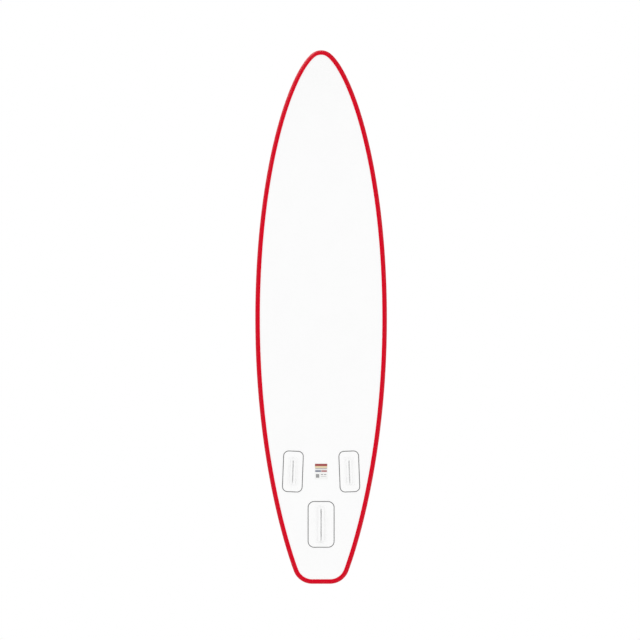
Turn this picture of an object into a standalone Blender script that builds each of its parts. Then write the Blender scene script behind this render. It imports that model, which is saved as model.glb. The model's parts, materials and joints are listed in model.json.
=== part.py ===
"""Inflatable stand-up paddle board, as the separate pieces that it is made of.

Metres, +Z up. The board lies deck up on its flat middle, nose towards -Y and tail towards +Y. The origin
is on the surface that it rests on, under the middle of its length.
"""

import math

import bmesh
import bpy
from mathutils import Matrix, Vector

MM = 0.001
GAP = 0.3 * MM

# Plan outline: a nose arc, two curves a side, and an arc at each tail corner
LENGTH = 3.2
HALF_WIDTH = 0.3946
WIDEST_Y = 0.011
NOSE_RADIUS = 0.0887
NOSE_SWEEP = math.radians(37.5)
NOSE_PULL = 0.173
PULL_AHEAD = 0.903
PULL_BEHIND = 0.836
TAIL_PULL = 0.124
TAIL_RADIUS = 0.118
TAIL_SWEEP = math.radians(69.5)
TAIL_FLAT = 0.0533
NOSE_STEPS = 4
FORWARD_STEPS = 14
AFT_STEPS = 11
CORNER_STEPS = 5

# Side view
THICKNESS = 0.150
NOSE_ROCKER = 0.200
NOSE_ROCKER_FROM = -0.55
TAIL_SLOPE = 0.040
TAIL_BEND = (0.20, 0.50)

# Rail: a half ellipse of layers, the red band outermost
RAIL_REACH = 0.0435
BAND = 1.2 * MM
SKIN = 1.2 * MM
CLOTH = 1.0 * MM
BAND_EDGE = math.radians(68.4)
SKIN_EDGE = math.radians(56.0)
TAPE_EDGE = math.radians(55.2)
BAND_ANGLES = [math.radians(a) for a in (-68.4, -56, -42, -28, -14, 0, 14, 28, 42, 56, 68.4)]
TAPE_ANGLES = [-TAPE_EDGE, math.radians(-28), 0, math.radians(28), TAPE_EDGE]
SKIN_ANGLES = [math.radians(90), math.radians(79), BAND_EDGE, SKIN_EDGE]
SKIN_DEPTH = BAND + GAP
CLOTH_DROP = SKIN + GAP

# Drop-stitch core: bundles of drop threads stand for the thousands of real ones
CORE_INSET = RAIL_REACH + 2 * MM
CORE_LANES = 3
BUNDLE = 8 * MM
SHORTEST_CELL = 0.060
VALVE_CLEAR = 0.060

# Fin patches, boxes and locks
PATCH_THICK = 1.0 * MM
BEAD_WIDTH = 5 * MM
BEAD_HIGH = 1.1 * MM
SIDE_PATCH = (0.117, 0.243, 0.030)
SIDE_PATCH_X = 0.169
SIDE_PATCH_Y = 0.926
TOE_IN = math.radians(2.2)
CENTRE_PATCH = (0.155, 0.273, 0.035)
CENTRE_PATCH_Y = 1.243
BOX_SEAT = PATCH_THICK + 2 * GAP
BOX_FLANGE = (13 * MM, 10 * MM, 1.4 * MM)
BOX_CORNER = 5 * MM
BOX_BEVEL = 0.8 * MM
BOX_FLOOR = 1.6 * MM
BOX_LIP = 2.0 * MM
BOX_FRONT_WALL = 9 * MM
# Each box: width, length, height, then half the channel's width at the fin base and at its lips
SIDE_BOX = (0.030, 0.150, 10.0 * MM, 10 * MM, 3.2 * MM)
CENTRE_BOX = (0.034, 0.205, 12.4 * MM, 12 * MM, 3.6 * MM)
LOCK_FROM_REAR = 0.022
LOCK_REACH = 6 * MM
LOCK_PLAY = 0.4 * MM
LOCK_PAD = 6 * MM
LOCK_HIGH = 3.2 * MM
LOCK_SIZE_Y = 10.2 * MM
LOCK_WINDOW_Y = 11.2 * MM
LOCK_PAD_Y = 16 * MM

# Sticker on the hull
STICKER = (0.078, 0.096, 0.003)
STICKER_Y = 0.925
STICKER_THICK = 0.3 * MM

# Deck pads and the cut-out round the handle
PAD_THICK = 6 * MM
PAD_INSET = 0.068
MAIN_PAD_Y = (-0.62, 0.93)
TAIL_PAD_Y = (0.945, 1.255)
PAD_NOSE_CORNER = 0.13
PAD_CORNER = 0.025
KICK_HIGH = 22 * MM
KICK_FROM = 1.12
CUTOUT = (0.130, 0.430, 0.064)
LONGEST_PAD_ROW = 0.03

# Carry handle
HANDLE_AXIS = 13 * MM
HANDLE_RISE = 43 * MM
HANDLE_END = 0.150
HANDLE_MOUTH = 0.116
HANDLE_CREST = 0.020
STRAP_FLAT_FROM = 0.085
GRIP_END = 0.072
STRAP_ROUND = (5.0 * MM, 5.0 * MM)
STRAP_FLAT = (11.0 * MM, 2.6 * MM)
GRIP_HOLE = (11.5 * MM, 3.1 * MM)
GRIP_SIZE = (15.0 * MM, 12.5 * MM)
HANDLE_SIDES = 12
ANCHOR_Y = 0.145
ANCHOR_BASE = (0.056, 0.066, 0.014)
ANCHOR_PATCH = (0.096, 0.104, 0.030)
ANCHOR_STEPS = [(1.0, 3.4 * MM), (0.94, 4.4 * MM)]
ANCHOR_HUMP = (9.6 * MM, 24 * MM, 3.0 * MM)
ANCHOR_BORE = 5.7 * MM

# D-rings: half-width of the bar, wire radius and the patch under each
RING_HALF = 19 * MM
RING_LEG = 7 * MM
RING_CORNER = 3 * MM
RING_WIRE = 2.5 * MM
RING_SIDES = 6
RING_LIFT = 0.9 * MM
RING_PATCH = (0.086, 0.086, 0.034)
LOOP_WIDTH = 25 * MM
LOOP_THICK = 1.5 * MM
LOOP_TAIL = 16 * MM
RINGS = {
    "nose_ring": (0.0, -1.455, 1),
    "cargo_ring_front_left": (0.150, -1.165, -1),
    "cargo_ring_front_right": (-0.150, -1.165, -1),
    "cargo_ring_rear_left": (0.205, -0.790, 1),
    "cargo_ring_rear_right": (-0.205, -0.790, 1),
    "leash_ring": (0.0, 1.490, -1),
}

# Valve
VALVE_Y = 1.345
VALVE_SIDES = 24
VALVE_HOLE = (22.4, 12)
SPRING_TURNS = 6
SPRING_STEPS = 10
SPRING_RADIUS = 8 * MM
SPRING_WIRE = 0.7 * MM
SPRING_Z = (-20.9 * MM, -4.8 * MM)
CAP_HINGE_X = 38 * MM
CAP_HINGE_Z = 5 * MM

# Colour, roughness and metallic value of each finish
FINISHES = {
    "white_pvc": ((0.87, 0.87, 0.87), 0.35, 0.0),
    "red_pvc": ((0.66, 0.005, 0.022), 0.35, 0.0),
    "grey_bead": ((0.30, 0.30, 0.31), 0.5, 0.0),
    "white_plastic": ((0.83, 0.83, 0.83), 0.3, 0.0),
    "grey_plastic": ((0.45, 0.46, 0.47), 0.4, 0.0),
    "pale_foam": ((0.52, 0.53, 0.54), 0.9, 0.0),
    "dark_foam": ((0.12, 0.125, 0.13), 0.9, 0.0),
    "webbing": ((0.05, 0.05, 0.055), 0.85, 0.0),
    "rubber": ((0.03, 0.03, 0.032), 0.7, 0.0),
    "steel": ((0.62, 0.62, 0.63), 0.25, 1.0),
    "cloth": ((0.70, 0.70, 0.66), 0.9, 0.0),
    "sticker": ((0.70, 0.66, 0.56), 0.5, 0.0),
}


def clear_scene():
    """Removes every object of the startup scene."""
    for old in list(bpy.data.objects):
        bpy.data.objects.remove(old, do_unlink=True)


def make_finish(name):
    """A Principled material with the finish's colour, roughness and metallic value."""
    colour, roughness, metallic = FINISHES[name]
    material = bpy.data.materials.new(name)
    material.use_nodes = True
    shader = material.node_tree.nodes["Principled BSDF"]
    shader.inputs["Base Color"].default_value = (*colour, 1.0)
    shader.inputs["Roughness"].default_value = roughness
    shader.inputs["Metallic"].default_value = metallic
    return material


def finish_of(name):
    """The material of this finish, made on first use."""
    return bpy.data.materials.get(name) or make_finish(name)


# Meshes


def to_object(name, mesh, finish, parent=None):
    """Turns a bmesh into a named object with its faces pointing out."""
    bmesh.ops.recalc_face_normals(mesh, faces=mesh.faces)
    data = bpy.data.meshes.new(name)
    mesh.to_mesh(data)
    mesh.free()
    data.shade_smooth()
    data.set_sharp_from_angle(angle=math.radians(32))
    made = bpy.data.objects.new(name, data)
    made.data.materials.append(finish_of(finish))
    made.parent = parent
    bpy.context.scene.collection.objects.link(made)
    return made


def close_across(mesh, ring):
    """Fills a loop that is the same on both sides of its middle with faces straight across it."""
    half = len(ring) // 2
    mesh.faces.new((ring[-2], ring[-1], ring[0], ring[1], ring[2]))
    for i in range(2, half - 2):
        mesh.faces.new((ring[i], ring[i + 1], ring[-i - 1], ring[-i]))
    mesh.faces.new(ring[half - 2 : half + 3])


def loft(name, loops, finish, parent=None, closed=False, across=False):
    """Joins closed loops of equal length, and fills the first and last unless the row of loops closes."""
    mesh = bmesh.new()
    rings = [[mesh.verts.new(point) for point in loop] for loop in loops]
    pairs = list(zip(rings, rings[1:]))
    if closed:
        pairs.append((rings[-1], rings[0]))
    for low, high in pairs:
        for i in range(len(low)):
            j = (i + 1) % len(low)
            mesh.faces.new((low[i], low[j], high[j], high[i]))
    if not closed:
        for ring in (rings[0], rings[-1]):
            if across:
                close_across(mesh, ring)
            else:
                mesh.faces.new(ring)
    return to_object(name, mesh, finish, parent)


def circle(radius, z, sides):
    """A level circle of points."""
    angles = [math.tau * i / sides for i in range(sides)]
    return [Vector((radius * math.cos(a), radius * math.sin(a), z)) for a in angles]


def turned(name, profile, finish, parent=None, closed=False, sides=VALVE_SIDES):
    """A turned piece from its profile of (radius, height) in millimetres."""
    loops = [circle(radius * MM, z * MM, sides) for radius, z in profile]
    return loft(name, loops, finish, parent, closed)


def rod_y(name, radius, y0, y1, x=0.0, z=0.0, parent=None, sides=16):
    """A round bar along Y."""
    loops = [[Vector((x + p.x, y, z + p.y)) for p in circle(radius, 0, sides)] for y in (y0, y1)]
    return loft(name, loops, "grey_plastic", parent)


def prism_y(name, outline, y0, y1, finish, parent=None):
    """A bar along Y with this outline of (x, z)."""
    loops = [[Vector((x, y, z)) for x, z in outline] for y in (y0, y1)]
    return loft(name, loops, finish, parent)


def block(name, low, high, finish, parent=None):
    """A plain block between two corners."""
    outline = [(low[0], low[2]), (high[0], low[2]), (high[0], high[2]), (low[0], high[2])]
    return prism_y(name, outline, low[1], high[1], finish, parent)


def combine(made, tool, operation):
    """Cuts a helper from a piece, or joins it on, and keeps the helper out of renders."""
    modifier = made.modifiers.new(operation.lower(), "BOOLEAN")
    modifier.operation = operation
    modifier.solver = "EXACT"
    modifier.object = tool
    tool.hide_render = True
    tool.display_type = "WIRE"


def empty(name, matrix):
    """An empty that carries the pieces built round it."""
    made = bpy.data.objects.new(name, None)
    made.matrix_world = matrix
    bpy.context.scene.collection.objects.link(made)
    return made


# Plan outline


def bezier(p0, p1, p2, p3, steps):
    """Points along a cubic curve, without its first."""
    points = []
    for i in range(1, steps + 1):
        t = i / steps
        s = 1 - t
        points.append(p0 * s**3 + p1 * (3 * s * s * t) + p2 * (3 * s * t * t) + p3 * t**3)
    return points


def on_arc(centre, radius, angle, way):
    """A point of an arc about a centre on or beside the centreline, way -1 at the nose and 1 at the tail."""
    return centre + radius * Vector((math.sin(angle), way * math.cos(angle)))


def half_outline():
    """The outline's +X half, from the nose tip to the middle of the tail."""
    end = LENGTH / 2
    nose = Vector((0, NOSE_RADIUS - end))
    sweeps = [NOSE_SWEEP * i / NOSE_STEPS for i in range(NOSE_STEPS + 1)]
    points = [on_arc(nose, NOSE_RADIUS, a, -1) for a in sweeps]
    wide = Vector((HALF_WIDTH, WIDEST_Y))
    leaving = Vector((math.cos(NOSE_SWEEP), math.sin(NOSE_SWEEP)))
    ahead = wide - Vector((0, PULL_AHEAD))
    points += bezier(points[-1], points[-1] + NOSE_PULL * leaving, ahead, wide, FORWARD_STEPS)
    corner = Vector((TAIL_FLAT, end - TAIL_RADIUS))
    start = on_arc(corner, TAIL_RADIUS, TAIL_SWEEP, 1)
    back = Vector((math.cos(TAIL_SWEEP), -math.sin(TAIL_SWEEP)))
    behind = wide + Vector((0, PULL_BEHIND))
    points += bezier(wide, behind, start + TAIL_PULL * back, start, AFT_STEPS)
    sweeps = [TAIL_SWEEP * (1 - i / CORNER_STEPS) for i in range(1, CORNER_STEPS + 1)]
    points += [on_arc(corner, TAIL_RADIUS, a, 1) for a in sweeps]
    return points + [Vector((0, end))]


def whole(half):
    """A closed loop from its +X half, which starts and ends on the centreline."""
    return half + [Vector((-p.x, p.y)) for p in reversed(half[1:-1])]


def outward_normals(loop):
    """The outward normal at each point of a loop that runs anticlockwise."""
    normals = []
    for i, point in enumerate(loop):
        before = (point - loop[i - 1]).normalized()
        after = (loop[(i + 1) % len(loop)] - point).normalized()
        along = before + after
        normals.append(Vector((along.y, -along.x)).normalized())
    return normals


OUTLINE = whole(half_outline())
NORMALS = outward_normals(OUTLINE)


def inset_outline(inset):
    """The outline moved inwards."""
    return [p - n * inset for p, n in zip(OUTLINE, NORMALS)]


def half_of(loop):
    """The +X half of a loop made by whole."""
    return loop[: len(loop) // 2 + 1]


def interpolate(pairs, key):
    """The value at key in a rising list of (key, value)."""
    for (k0, v0), (k1, v1) in zip(pairs, pairs[1:]):
        if key <= k1:
            return v0 + (v1 - v0) * (key - k0) / (k1 - k0)
    return pairs[-1][1]


def half_width_at(y, inset):
    """Half the board's width at y, this far inside the outline."""
    pairs = [(p.y, p.x) for p in half_of(inset_outline(inset))][:-1]
    return interpolate(pairs, y)


# Side view


def rocker(y):
    """Height of the hull's outer face above the ground."""
    if y < NOSE_ROCKER_FROM:
        share = (NOSE_ROCKER_FROM - y) / (NOSE_ROCKER_FROM + LENGTH / 2)
        return NOSE_ROCKER * share**2
    start, straight = TAIL_BEND
    bent = min(max(0.0, y - start), straight - start)
    return TAIL_SLOPE * (bent**2 / (straight - start) / 2 + max(0.0, y - straight))


STATIONS = [(p.y, rocker(p.y)) for p in half_of(inset_outline(RAIL_REACH))]


def level(y):
    """Height of the hull's outer face as its faces run, straight from station to station."""
    return interpolate(STATIONS, y)


def slope(y, span=0.03):
    """Rise of the hull per metre towards the tail."""
    return (level(y + span) - level(y - span)) / (2 * span)


def on_deck(x, y, h):
    """A point h above the deck."""
    out = Vector((0, -slope(y), 1)).normalized()
    return Vector((x, y, level(y) + THICKNESS)) + h * out


def on_hull(x, y, h):
    """A point h below the hull."""
    out = Vector((0, slope(y), -1)).normalized()
    return Vector((x, y, level(y))) + h * out


def deck_frame(x, y):
    """A frame on the deck: Z away from it, Y towards the tail."""
    return Matrix.Translation(on_deck(x, y, 0)) @ Matrix.Rotation(math.atan(slope(y)), 4, "X")


def hull_frame(x, y, toe=0.0):
    """A frame on the hull: Z into the board, Y towards the tail, turned by the toe-in."""
    tilt = Matrix.Rotation(math.atan(slope(y)), 4, "X")
    return Matrix.Translation(on_hull(x, y, 0)) @ tilt @ Matrix.Rotation(toe, 4, "Z")


# Flat shapes


def rounded(width, length, radius, corner_steps=3, longest=0.045):
    """A rectangle with round corners, from the middle of its front round by +X."""
    x, y = width / 2 - radius, length / 2 - radius
    turns = [math.pi / 2 * i / corner_steps for i in range(corner_steps + 1)]
    half = [Vector((0, -length / 2))]
    half += [Vector((x + radius * math.sin(a), -y - radius * math.cos(a))) for a in turns]
    rows = max(1, math.ceil(2 * y / longest))
    half += [Vector((width / 2, -y + 2 * y * i / rows)) for i in range(1, rows)]
    half += [Vector((x + radius * math.cos(a), y + radius * math.sin(a))) for a in turns]
    return whole(half + [Vector((0, length / 2))])


def placed(shape, x, y, turn=0.0):
    """A flat shape turned and moved over the board."""
    cos, sin = math.cos(turn), math.sin(turn)
    return [Vector((x + p.x * cos - p.y * sin, y + p.x * sin + p.y * cos)) for p in shape]


def plate(name, shape, low, high, surface, finish):
    """A thin plate that follows the deck or the hull."""
    loops = [[surface(p.x, p.y, h) for p in shape] for h in (low, high)]
    return loft(name, loops, finish, across=True)


# Hull, rail and core


def rail_loop(angle, depth):
    """A loop round the rail, at an angle up from its middle and a depth inside its outermost face."""
    inset = RAIL_REACH - (RAIL_REACH - depth) * math.cos(angle)
    rise = (THICKNESS / 2 + SKIN_DEPTH - depth) * math.sin(angle)
    middle = THICKNESS / 2
    return [Vector((p.x, p.y, rocker(p.y) + middle + rise)) for p in inset_outline(inset)]


def make_skin(name, side):
    """The hull skin (side -1) or the deck skin (side 1), wrapped a little way round the rail."""
    inner = [rail_loop(side * a, SKIN_DEPTH + SKIN) for a in SKIN_ANGLES]
    outer = [rail_loop(side * a, SKIN_DEPTH) for a in reversed(SKIN_ANGLES)]
    return loft(name, inner + outer, "white_pvc", across=True)


def make_strip(name, angles, depth, thick, finish):
    """A strip all round the rail."""
    outer = [rail_loop(a, depth) for a in angles]
    inner = [rail_loop(a, depth + thick) for a in reversed(angles)]
    return loft(name, outer + inner, finish, closed=True)


def cloth_levels(y):
    """Heights of the hull cloth's outer and inner face, then the deck cloth's inner and outer face."""
    low = rocker(y) + CLOTH_DROP
    high = rocker(y) + THICKNESS - CLOTH_DROP
    return low, low + CLOTH, high - CLOTH, high


def lane_points(mesh, half_width, y, lanes):
    """A row of points across the board at each face of the two cloths."""
    rows = []
    for z in cloth_levels(y):
        xs = [half_width * (2 * k / lanes - 1) for k in range(lanes + 1)]
        rows.append([mesh.verts.new((x, y, z)) for x in xs])
    return rows


def bundle_corners(mesh, corners):
    """Four points of a thread bundle in the middle of a cell, in the cell's own plane."""
    centre = sum((v.co for v in corners), Vector()) / 4
    along = ((corners[3].co + corners[2].co) - (corners[0].co + corners[1].co)) / 2
    along *= BUNDLE / 2 / along.y
    across = Vector((BUNDLE / 2, 0, 0))
    signs = ((-1, -1), (1, -1), (1, 1), (-1, 1))
    return [mesh.verts.new(centre + across * i + along * j) for i, j in signs]


def join_cell(mesh, low, high):
    """Faces of one cell on both inner cloth faces, with the bundle of threads between them."""
    feet = []
    for corners in (low, high):
        foot = bundle_corners(mesh, corners)
        feet.append(foot)
        for i in range(4):
            j = (i + 1) % 4
            mesh.faces.new((corners[i], corners[j], foot[j], foot[i]))
    for i in range(4):
        j = (i + 1) % 4
        mesh.faces.new((feet[0][i], feet[0][j], feet[1][j], feet[1][i]))


def has_bundle(corners):
    """True where the cell is long enough and clear of the valve."""
    centre = sum((v.co for v in corners), Vector()) / 4
    long_enough = corners[3].co.y - corners[0].co.y > SHORTEST_CELL
    from_valve = math.hypot(centre.x, centre.y - VALVE_Y)
    return long_enough and from_valve > VALVE_CLEAR


def make_core():
    """Two base cloths joined by the drop threads, open all round its edge, as one woven piece."""
    mesh = bmesh.new()
    half = half_of(inset_outline(CORE_INSET))[1:-1]
    rows = [lane_points(mesh, p.x, p.y, CORE_LANES) for p in half]
    for near, far in zip(rows, rows[1:]):
        for face in (0, 3):
            mesh.faces.new((near[face][0], near[face][-1], far[face][-1], far[face][0]))
        for face, other in ((0, 1), (2, 3)):
            for end in (0, -1):
                side = (near[face][end], near[other][end], far[other][end], far[face][end])
                mesh.faces.new(side)
        for k in range(CORE_LANES):
            cells = [(near[f][k], near[f][k + 1], far[f][k + 1], far[f][k]) for f in (1, 2)]
            if has_bundle(cells[0]):
                join_cell(mesh, *cells)
            else:
                for cell in cells:
                    mesh.faces.new(cell)
    for row in (rows[0], rows[-1]):
        for face, other in ((0, 1), (3, 2)):
            mesh.faces.new([row[face][0], *row[other], row[face][-1]])
    return to_object("drop_stitch_core", mesh, "cloth")


def make_hull():
    """The core, its skins, the inner tape and the red band."""
    core = make_core()
    make_skin("hull_skin", -1)
    deck = make_skin("deck_skin", 1)
    make_strip("inner_rail_tape", TAPE_ANGLES, SKIN_DEPTH, SKIN, "white_pvc")
    make_strip("outer_rail_band", BAND_ANGLES, 0.0, BAND, "red_pvc")
    hole = empty("valve_hole_place", deck_frame(0, VALVE_Y))
    radius, reach = VALVE_HOLE
    cutter = turned("valve_hole", [(radius, -reach), (radius, reach)], "cloth", hole)
    combine(core, cutter, "DIFFERENCE")
    combine(deck, cutter, "DIFFERENCE")


# Fin patches, boxes and locks


def make_patch(name, size, x, y, toe):
    """A fin patch with the bead round its edge."""
    width, length, radius = size
    loops = {}
    for key, grow in (("patch", -BEAD_WIDTH / 2 - GAP), ("in", -BEAD_WIDTH / 2), ("out", BEAD_WIDTH / 2)):
        shape = rounded(width + 2 * grow, length + 2 * grow, radius + grow)
        loops[key] = placed(shape, x, y, toe)
    plate(name + "_fin_patch", loops["patch"], GAP, GAP + PATCH_THICK, on_hull, "white_pvc")
    corners = [("out", GAP), ("out", GAP + BEAD_HIGH), ("in", GAP + BEAD_HIGH), ("in", GAP)]
    rings = [[on_hull(p.x, p.y, h) for p in loops[key]] for key, h in corners]
    loft(name + "_patch_bead", rings, "grey_bead", closed=True)


def box_levels(body, length, top):
    """Width, length and height of each step of a fin box, from its seat outwards."""
    side, end, thick = BOX_FLANGE
    return [
        (body + 2 * side, length + 2 * end, BOX_SEAT),
        (body + 2 * side, length + 2 * end, BOX_SEAT + thick),
        (body, length, BOX_SEAT + thick),
        (body, length, top - BOX_BEVEL),
        (body - 2 * BOX_BEVEL, length - BOX_BEVEL, top),
    ]


def t_channel(chamber, slot, floor, roof, top):
    """Outline of a channel with lips: wide between floor and roof, narrow from there out past the top."""
    out = -top - 2 * MM
    wide = [(-chamber, -roof), (-chamber, -floor), (chamber, -floor), (chamber, -roof)]
    return wide + [(slot, -roof), (slot, out), (-slot, out), (-slot, -roof)]


def make_box(name, place, size, lock_side):
    """A fin box with its lipped channel, open at the rear, and its lock."""
    width, length, height, chamber, slot = size
    top, floor = BOX_SEAT + height, BOX_SEAT + BOX_FLOOR
    roof = top - BOX_LIP
    loops = []
    for wide, long, h in box_levels(width, length, top):
        shape = rounded(wide, long, BOX_CORNER, corner_steps=2, longest=1.0)
        loops.append([Vector((p.x, p.y, -h)) for p in shape])
    box = loft(name + "_fin_box", loops, "white_plastic", place)
    channel = t_channel(chamber, slot, floor, roof, top)
    front, past_rear = BOX_FRONT_WALL - length / 2, length / 2 + 2 * BOX_CORNER
    cutter = prism_y(name + "_channel", channel, front, past_rear, "white_plastic", place)
    combine(box, cutter, "DIFFERENCE")
    lock_y = length / 2 - LOCK_FROM_REAR
    high = -(floor + roof - LOCK_HIGH) / 2
    low = high - LOCK_HIGH
    near, far = sorted((lock_side * (chamber - 2 * MM), lock_side * width))
    half = LOCK_WINDOW_Y / 2
    corners = (near, lock_y - half, low), (far, lock_y + half, high)
    combine(box, block(name + "_window", *corners, "steel", place), "DIFFERENCE")
    make_lock(name, place, lock_side, lock_y, (chamber, width / 2), (low + LOCK_PLAY, high - LOCK_PLAY))


def make_lock(name, place, side, y, wall, levels):
    """A sliding bolt that reaches into the channel, with its thumb pad outside the wall."""
    inner, outer = wall
    tip, neck = inner - LOCK_REACH, outer + LOCK_PLAY
    back = neck + LOCK_PAD
    bolt, pad = LOCK_SIZE_Y / 2, LOCK_PAD_Y / 2
    outline = [(tip, -bolt), (neck, -bolt), (neck, -pad), (back, -pad)]
    outline += [(back, pad), (neck, pad), (neck, bolt), (tip, bolt)]
    loops = [[Vector((side * px, y + py, z)) for px, py in outline] for z in levels]
    loft(name + "_fin_lock", loops, "grey_plastic", place)


def make_fin_gear():
    """Patches, beads, boxes and locks, and the sticker between the side patches."""
    for name, side in (("left", 1), ("right", -1)):
        toe = -side * TOE_IN
        make_patch(name, SIDE_PATCH, side * SIDE_PATCH_X, SIDE_PATCH_Y, toe)
        place = empty(name + "_box_place", hull_frame(side * SIDE_PATCH_X, SIDE_PATCH_Y, toe))
        make_box(name, place, SIDE_BOX, -side)
    make_patch("centre", CENTRE_PATCH, 0, CENTRE_PATCH_Y, 0)
    place = empty("centre_box_place", hull_frame(0, CENTRE_PATCH_Y))
    make_box("centre", place, CENTRE_BOX, 1)
    shape = placed(rounded(*STICKER, corner_steps=1), 0, STICKER_Y)
    plate("sticker", shape, GAP, GAP + STICKER_THICK, on_hull, "sticker")


# Deck pads


def pad_half(y0, y1, front, rear):
    """The +X half of a deck pad, following the board's side at a set distance."""
    turns = [math.pi / 2 * i / 4 for i in range(5)]
    wide = half_width_at(y0 + front, PAD_INSET)
    half = [Vector((0, y0))]
    for a in turns:
        half.append(Vector((wide - front * (1 - math.sin(a)), y0 + front * (1 - math.cos(a)))))
    between = [y for y, _ in STATIONS if y0 + front + 0.01 < y < y1 - rear - 0.01]
    half += [Vector((half_width_at(y, PAD_INSET), y)) for y in between]
    wide = half_width_at(y1 - rear, PAD_INSET)
    for a in turns:
        half.append(Vector((wide - rear * (1 - math.cos(a)), y1 - rear * (1 - math.sin(a)))))
    return half + [Vector((0, y1))]


def pad_height(y):
    """Thickness of the deck pads: level, then rising to the kick at the rear."""
    share = max(0.0, y - KICK_FROM) / (TAIL_PAD_Y[1] - KICK_FROM)
    return PAD_THICK + (KICK_HIGH - PAD_THICK) * math.sin(math.pi / 2 * share) ** 2


def with_rows(half, spacing):
    """A half outline with rows added so that no stretch of its side is longer than the spacing."""
    points = [half[0]]
    for point in half[1:]:
        last = points[-1]
        rows = max(1, math.ceil((point.y - last.y) / spacing))
        points += [last.lerp(point, i / rows) for i in range(1, rows + 1)]
    return points


def make_pads():
    """The main deck pad, cut out round the handle, and the tail pad with its kick."""
    shape = whole(pad_half(*MAIN_PAD_Y, PAD_NOSE_CORNER, PAD_CORNER))
    main = plate("main_deck_pad", shape, GAP, PAD_THICK, on_deck, "pale_foam")
    hole = rounded(*CUTOUT, corner_steps=6, longest=1.0)
    levels = (THICKNESS - 5 * MM, THICKNESS + 20 * MM)
    loops = [[Vector((p.x, p.y, z)) for p in hole] for z in levels]
    combine(main, loft("handle_cutout", loops, "pale_foam"), "DIFFERENCE")
    shape = whole(with_rows(pad_half(*TAIL_PAD_Y, PAD_CORNER, PAD_CORNER), LONGEST_PAD_ROW))
    low = [on_deck(p.x, p.y, GAP) for p in shape]
    high = [on_deck(p.x, p.y, pad_height(p.y)) for p in shape]
    loft("tail_kick_pad", [low, high], "dark_foam", across=True)


# Carry handle


def smooth(share):
    """An even ease from 0 to 1."""
    share = min(1.0, max(0.0, share))
    return share * share * (3 - 2 * share)


def handle_height(y):
    """Height of the strap's middle above its tilt axis."""
    return HANDLE_RISE * smooth((HANDLE_MOUTH - abs(y)) / (HANDLE_MOUTH - HANDLE_CREST))


def handle_section(y, size):
    """An upright ellipse across the strap, square to its path."""
    rise = (handle_height(y + MM) - handle_height(y - MM)) / (2 * MM)
    up = Vector((0, -rise, 1)).normalized()
    middle = Vector((0, y, handle_height(y)))
    angles = [math.tau * i / HANDLE_SIDES for i in range(HANDLE_SIDES)]
    across = Vector((size[0], 0, 0))
    return [middle + across * math.cos(a) + up * (size[1] * math.sin(a)) for a in angles]


def strap_size(y):
    """Half-width and half-height of the strap: round in the anchors, flat in the grip."""
    share = smooth((HANDLE_MOUTH - abs(y)) / (HANDLE_MOUTH - STRAP_FLAT_FROM))
    return tuple(r + (f - r) * share for r, f in zip(STRAP_ROUND, STRAP_FLAT))


def make_handle():
    """The strap and its padded grip, with the two anchors and their patches."""
    place = empty("handle_axis", deck_frame(0, 0) @ Matrix.Translation((0, 0, HANDLE_AXIS)))
    rear = [0.0, 0.02, 0.036, 0.050, 0.061, GRIP_END]
    ends = [0.080, 0.088, 0.096, 0.106, HANDLE_MOUTH, HANDLE_END]
    grip = [-y for y in reversed(rear[1:])] + rear
    strap = [-y for y in reversed(ends)] + grip + ends
    loft("handle_strap", [handle_section(y, strap_size(y)) for y in strap], "webbing", place)
    outer = [handle_section(y, GRIP_SIZE) for y in grip]
    inner = [handle_section(y, GRIP_HOLE) for y in reversed(grip)]
    loft("handle_grip", outer + inner, "rubber", place, closed=True)
    for name, side in (("front", -1), ("rear", 1)):
        make_anchor(name, side)


def make_anchor(name, side):
    """A moulded anchor whose blind bore carries one end of the strap, on its patch."""
    shape = placed(rounded(*ANCHOR_PATCH), 0, side * ANCHOR_Y)
    plate(f"handle_patch_{name}", shape, GAP, GAP + PATCH_THICK, on_deck, "white_pvc")
    turn = Matrix.Rotation(math.pi * (side < 0), 4, "Z")
    place = empty(f"anchor_place_{name}", deck_frame(0, side * ANCHOR_Y) @ turn)
    base = rounded(*ANCHOR_BASE, longest=1.0)
    levels = [(1.0, BOX_SEAT)] + ANCHOR_STEPS
    loops = [[Vector((p.x * grow, p.y * grow, z)) for p in base] for grow, z in levels]
    anchor = loft(f"handle_anchor_{name}", loops, "grey_plastic", place)
    radius, foot, foot_z = ANCHOR_HUMP
    turns = [math.pi * i / 8 for i in range(9)]
    arch = [(radius * math.cos(a), HANDLE_AXIS + radius * math.sin(a)) for a in turns]
    outline = [(foot / 2, foot_z)] + arch + [(-foot / 2, foot_z)]
    mouth = HANDLE_MOUTH - ANCHOR_Y + 5 * MM
    hump = prism_y(f"anchor_hump_{name}", outline, mouth, 20 * MM, "grey_plastic", place)
    combine(anchor, hump, "UNION")
    deep = HANDLE_END - ANCHOR_Y + MM
    bore = rod_y(f"anchor_bore_{name}", ANCHOR_BORE, mouth - 10 * MM, deep, z=HANDLE_AXIS, parent=place)
    combine(anchor, bore, "DIFFERENCE")


# D-rings


def ring_path():
    """The D as a closed flat path: its bar on X through the origin, its bow towards +Y."""
    bar, bend = RING_HALF - RING_CORNER, math.radians(45)
    cut = RING_CORNER * (1 - math.sin(bend))
    right = [Vector((bar, 0, 0)), Vector((RING_HALF - cut, cut, 0)), Vector((RING_HALF, RING_CORNER, 0))]
    turns = [math.pi * i / 8 for i in range(9)]
    bow = [Vector((RING_HALF * math.cos(a), RING_LEG + RING_HALF * math.sin(a), 0)) for a in turns]
    left = [Vector((-p.x, p.y, 0)) for p in reversed(right)]
    return right + bow + left


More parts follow.
